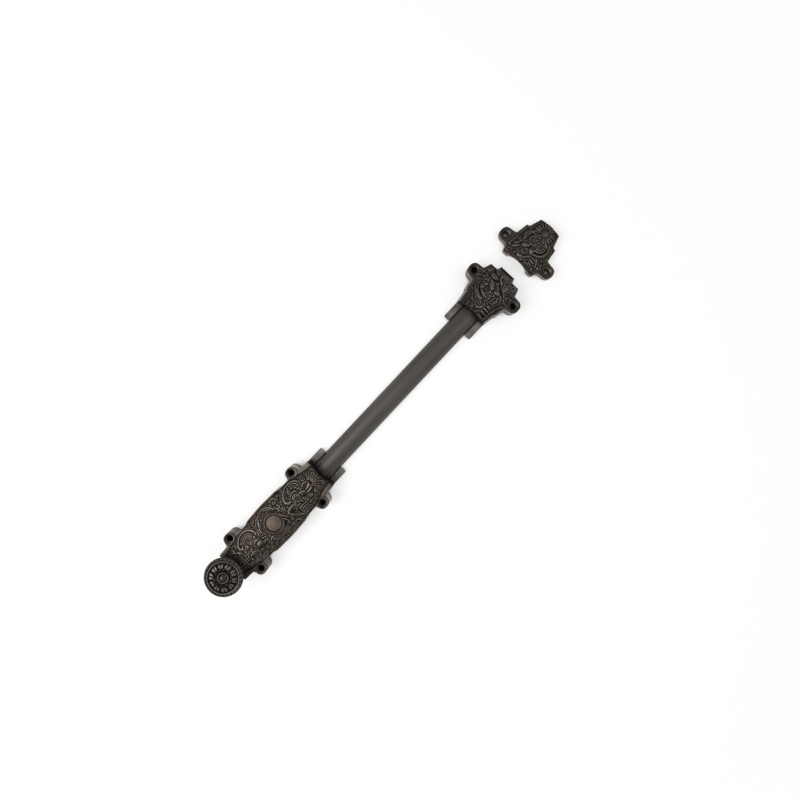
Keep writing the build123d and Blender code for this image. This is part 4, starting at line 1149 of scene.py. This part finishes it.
    # roots of the lugs
    for x, y, turn in ((266.4, 14.0, 70), (269.0, 14.2, 10), (271.6, 13.6, -40), (274.0, 13.6, 20)):
        r.bud(x, y, 1.4, 0.8, turn, 0.75)
    for x, y in ((268.0, 12.4), (271.2, 12.0), (272.8, 15.2)):
        r.cut([(x - 0.6, y - 0.3), (x + 0.6, y + 0.3)], 0.36, 0.5)
    for x, y, turn in ((269.6, -14.6, 20), (272.0, -13.0, 60), (267.4, -16.0, 0), (272.6, -16.0, -20)):
        r.bud(x, y, 1.4, 0.8, turn, 0.75)
    r.fill(strike_crown, 23, 1500, sizes=(0.6, 1.1))
    return r


strike_bronze = cast_finish("strike_bronze", tone(23, 19, 17), tone(57, 51, 47), tone(99, 92, 85))
strike_casting = cast_body("strike_casting", "strike", draw_strike(), strike_crown, strike_lugs,
                           strike_flange)
strike_casting.data.materials.append(strike_bronze.material)
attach(strike_casting, "fixed")
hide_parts("strike")


# Ground, light and camera: the bolt lies on a white sweep under a broad soft light from the knob's
# side and a weaker one from across. A near camera looks straight down on it, a little off the
# middle of its view.
camera_place = (143.6 * mm, 5.2 * mm, 330 * mm)
camera_turn = -46.89
view_width = 606.0
camera_data = bpy.data.cameras.new("near_camera")
camera_data.sensor_width = 36.0
camera_data.lens = camera_data.sensor_width * camera_place[2] / (view_width * mm)
camera_data.shift_x = -0.00625
camera_data.shift_y = -0.034
camera_data.clip_start = 0.01
camera = bpy.data.objects.new("near_camera", camera_data)
camera.location = camera_place
camera.rotation_euler = (0, 0, math.radians(camera_turn))
bpy.context.scene.collection.objects.link(camera)
bpy.context.scene.camera = camera

bpy.ops.object.select_all(action="DESELECT")
bpy.ops.mesh.primitive_plane_add(size=60.0, location=(0.12, 0, -0.05 * mm))
sweep = bpy.context.active_object
sweep.name = "white_sweep"


def ground_finish():
    """Matt white board that half glows where it is seen, so that the shadow on it is faint; it has painted
    shade deep in the screw holes, where it is painted dark and does not glow, and it is plain white far
    away."""
    finish = Finish("white_board", 0.0, Roughness=0.9, Specular_IOR_Level=0.0, Emission_Strength=1.0)
    camera_ray = finish.node("ShaderNodeLightPath")
    mirror_ray = finish.node("ShaderNodeLightPath", output="Is Glossy Ray")
    seen = camera_ray + mirror_ray
    board = finish.mix(finish.grain(40.0, detail=2.0), tone(250, 250, 249), tone(253, 253, 253))
    open_sky = finish.node("ShaderNodeAmbientOcclusion", {"samples": 8}, {"Distance": 0.008}, output="AO")
    # painted shade: where the board is closed in, as deep in the screw holes, it is painted dark brown and
    # its glow is turned off
    outside_painted_shade = finish.band(open_sky, 0.15, 0.56)
    finish.colour(finish.mix(seen, board, finish.mix(outside_painted_shade, tone(90, 78, 70), tone(178, 178, 178))))
    reach = finish.node("ShaderNodeVectorMath", {"operation": "LENGTH"}, {0: finish.place}, output="Value")
    far = finish.band(reach, 0.35, 1.3) * camera_ray
    board_glow = finish.mix(far, tone(196, 196, 196), tone(255, 255, 255))
    finish.feed("Emission Color", finish.mix(seen * outside_painted_shade, tone(0, 0, 0), board_glow))
    return finish


sweep.data.materials.append(ground_finish().material)


def soft_light(name, place, aim, size, power):
    """A square lamp panel that faces a point."""
    data = bpy.data.lights.new(name, "AREA")
    data.shape = "SQUARE"
    data.size = size
    data.energy = power
    lamp = bpy.data.objects.new(name, data)
    lamp.location = place
    lamp.rotation_euler = (Vector(place) - Vector(aim)).to_track_quat("Z", "Y").to_euler()
    bpy.context.scene.collection.objects.link(lamp)


soft_light("key_panel", (-0.75, 0.45, 0.95), (0.1, 0, 0), 0.9, 12)
soft_light("fill_panel", (0.9, -0.6, 1.1), (0.15, 0, 0), 0.9, 4)

# the room is white to the camera, and lights the bolt at little more than half of that
world = bpy.data.worlds.new("white_room")
bpy.context.scene.world = world
world.use_nodes = True
room = Nodes(world.node_tree, "BACKGROUND")
room.shader.inputs["Color"].default_value = (1, 1, 1, 1)
room.feed("Strength", 0.55 + 0.45 * room.node("ShaderNodeLightPath"))

bpy.context.scene.view_settings.view_transform = "Standard"
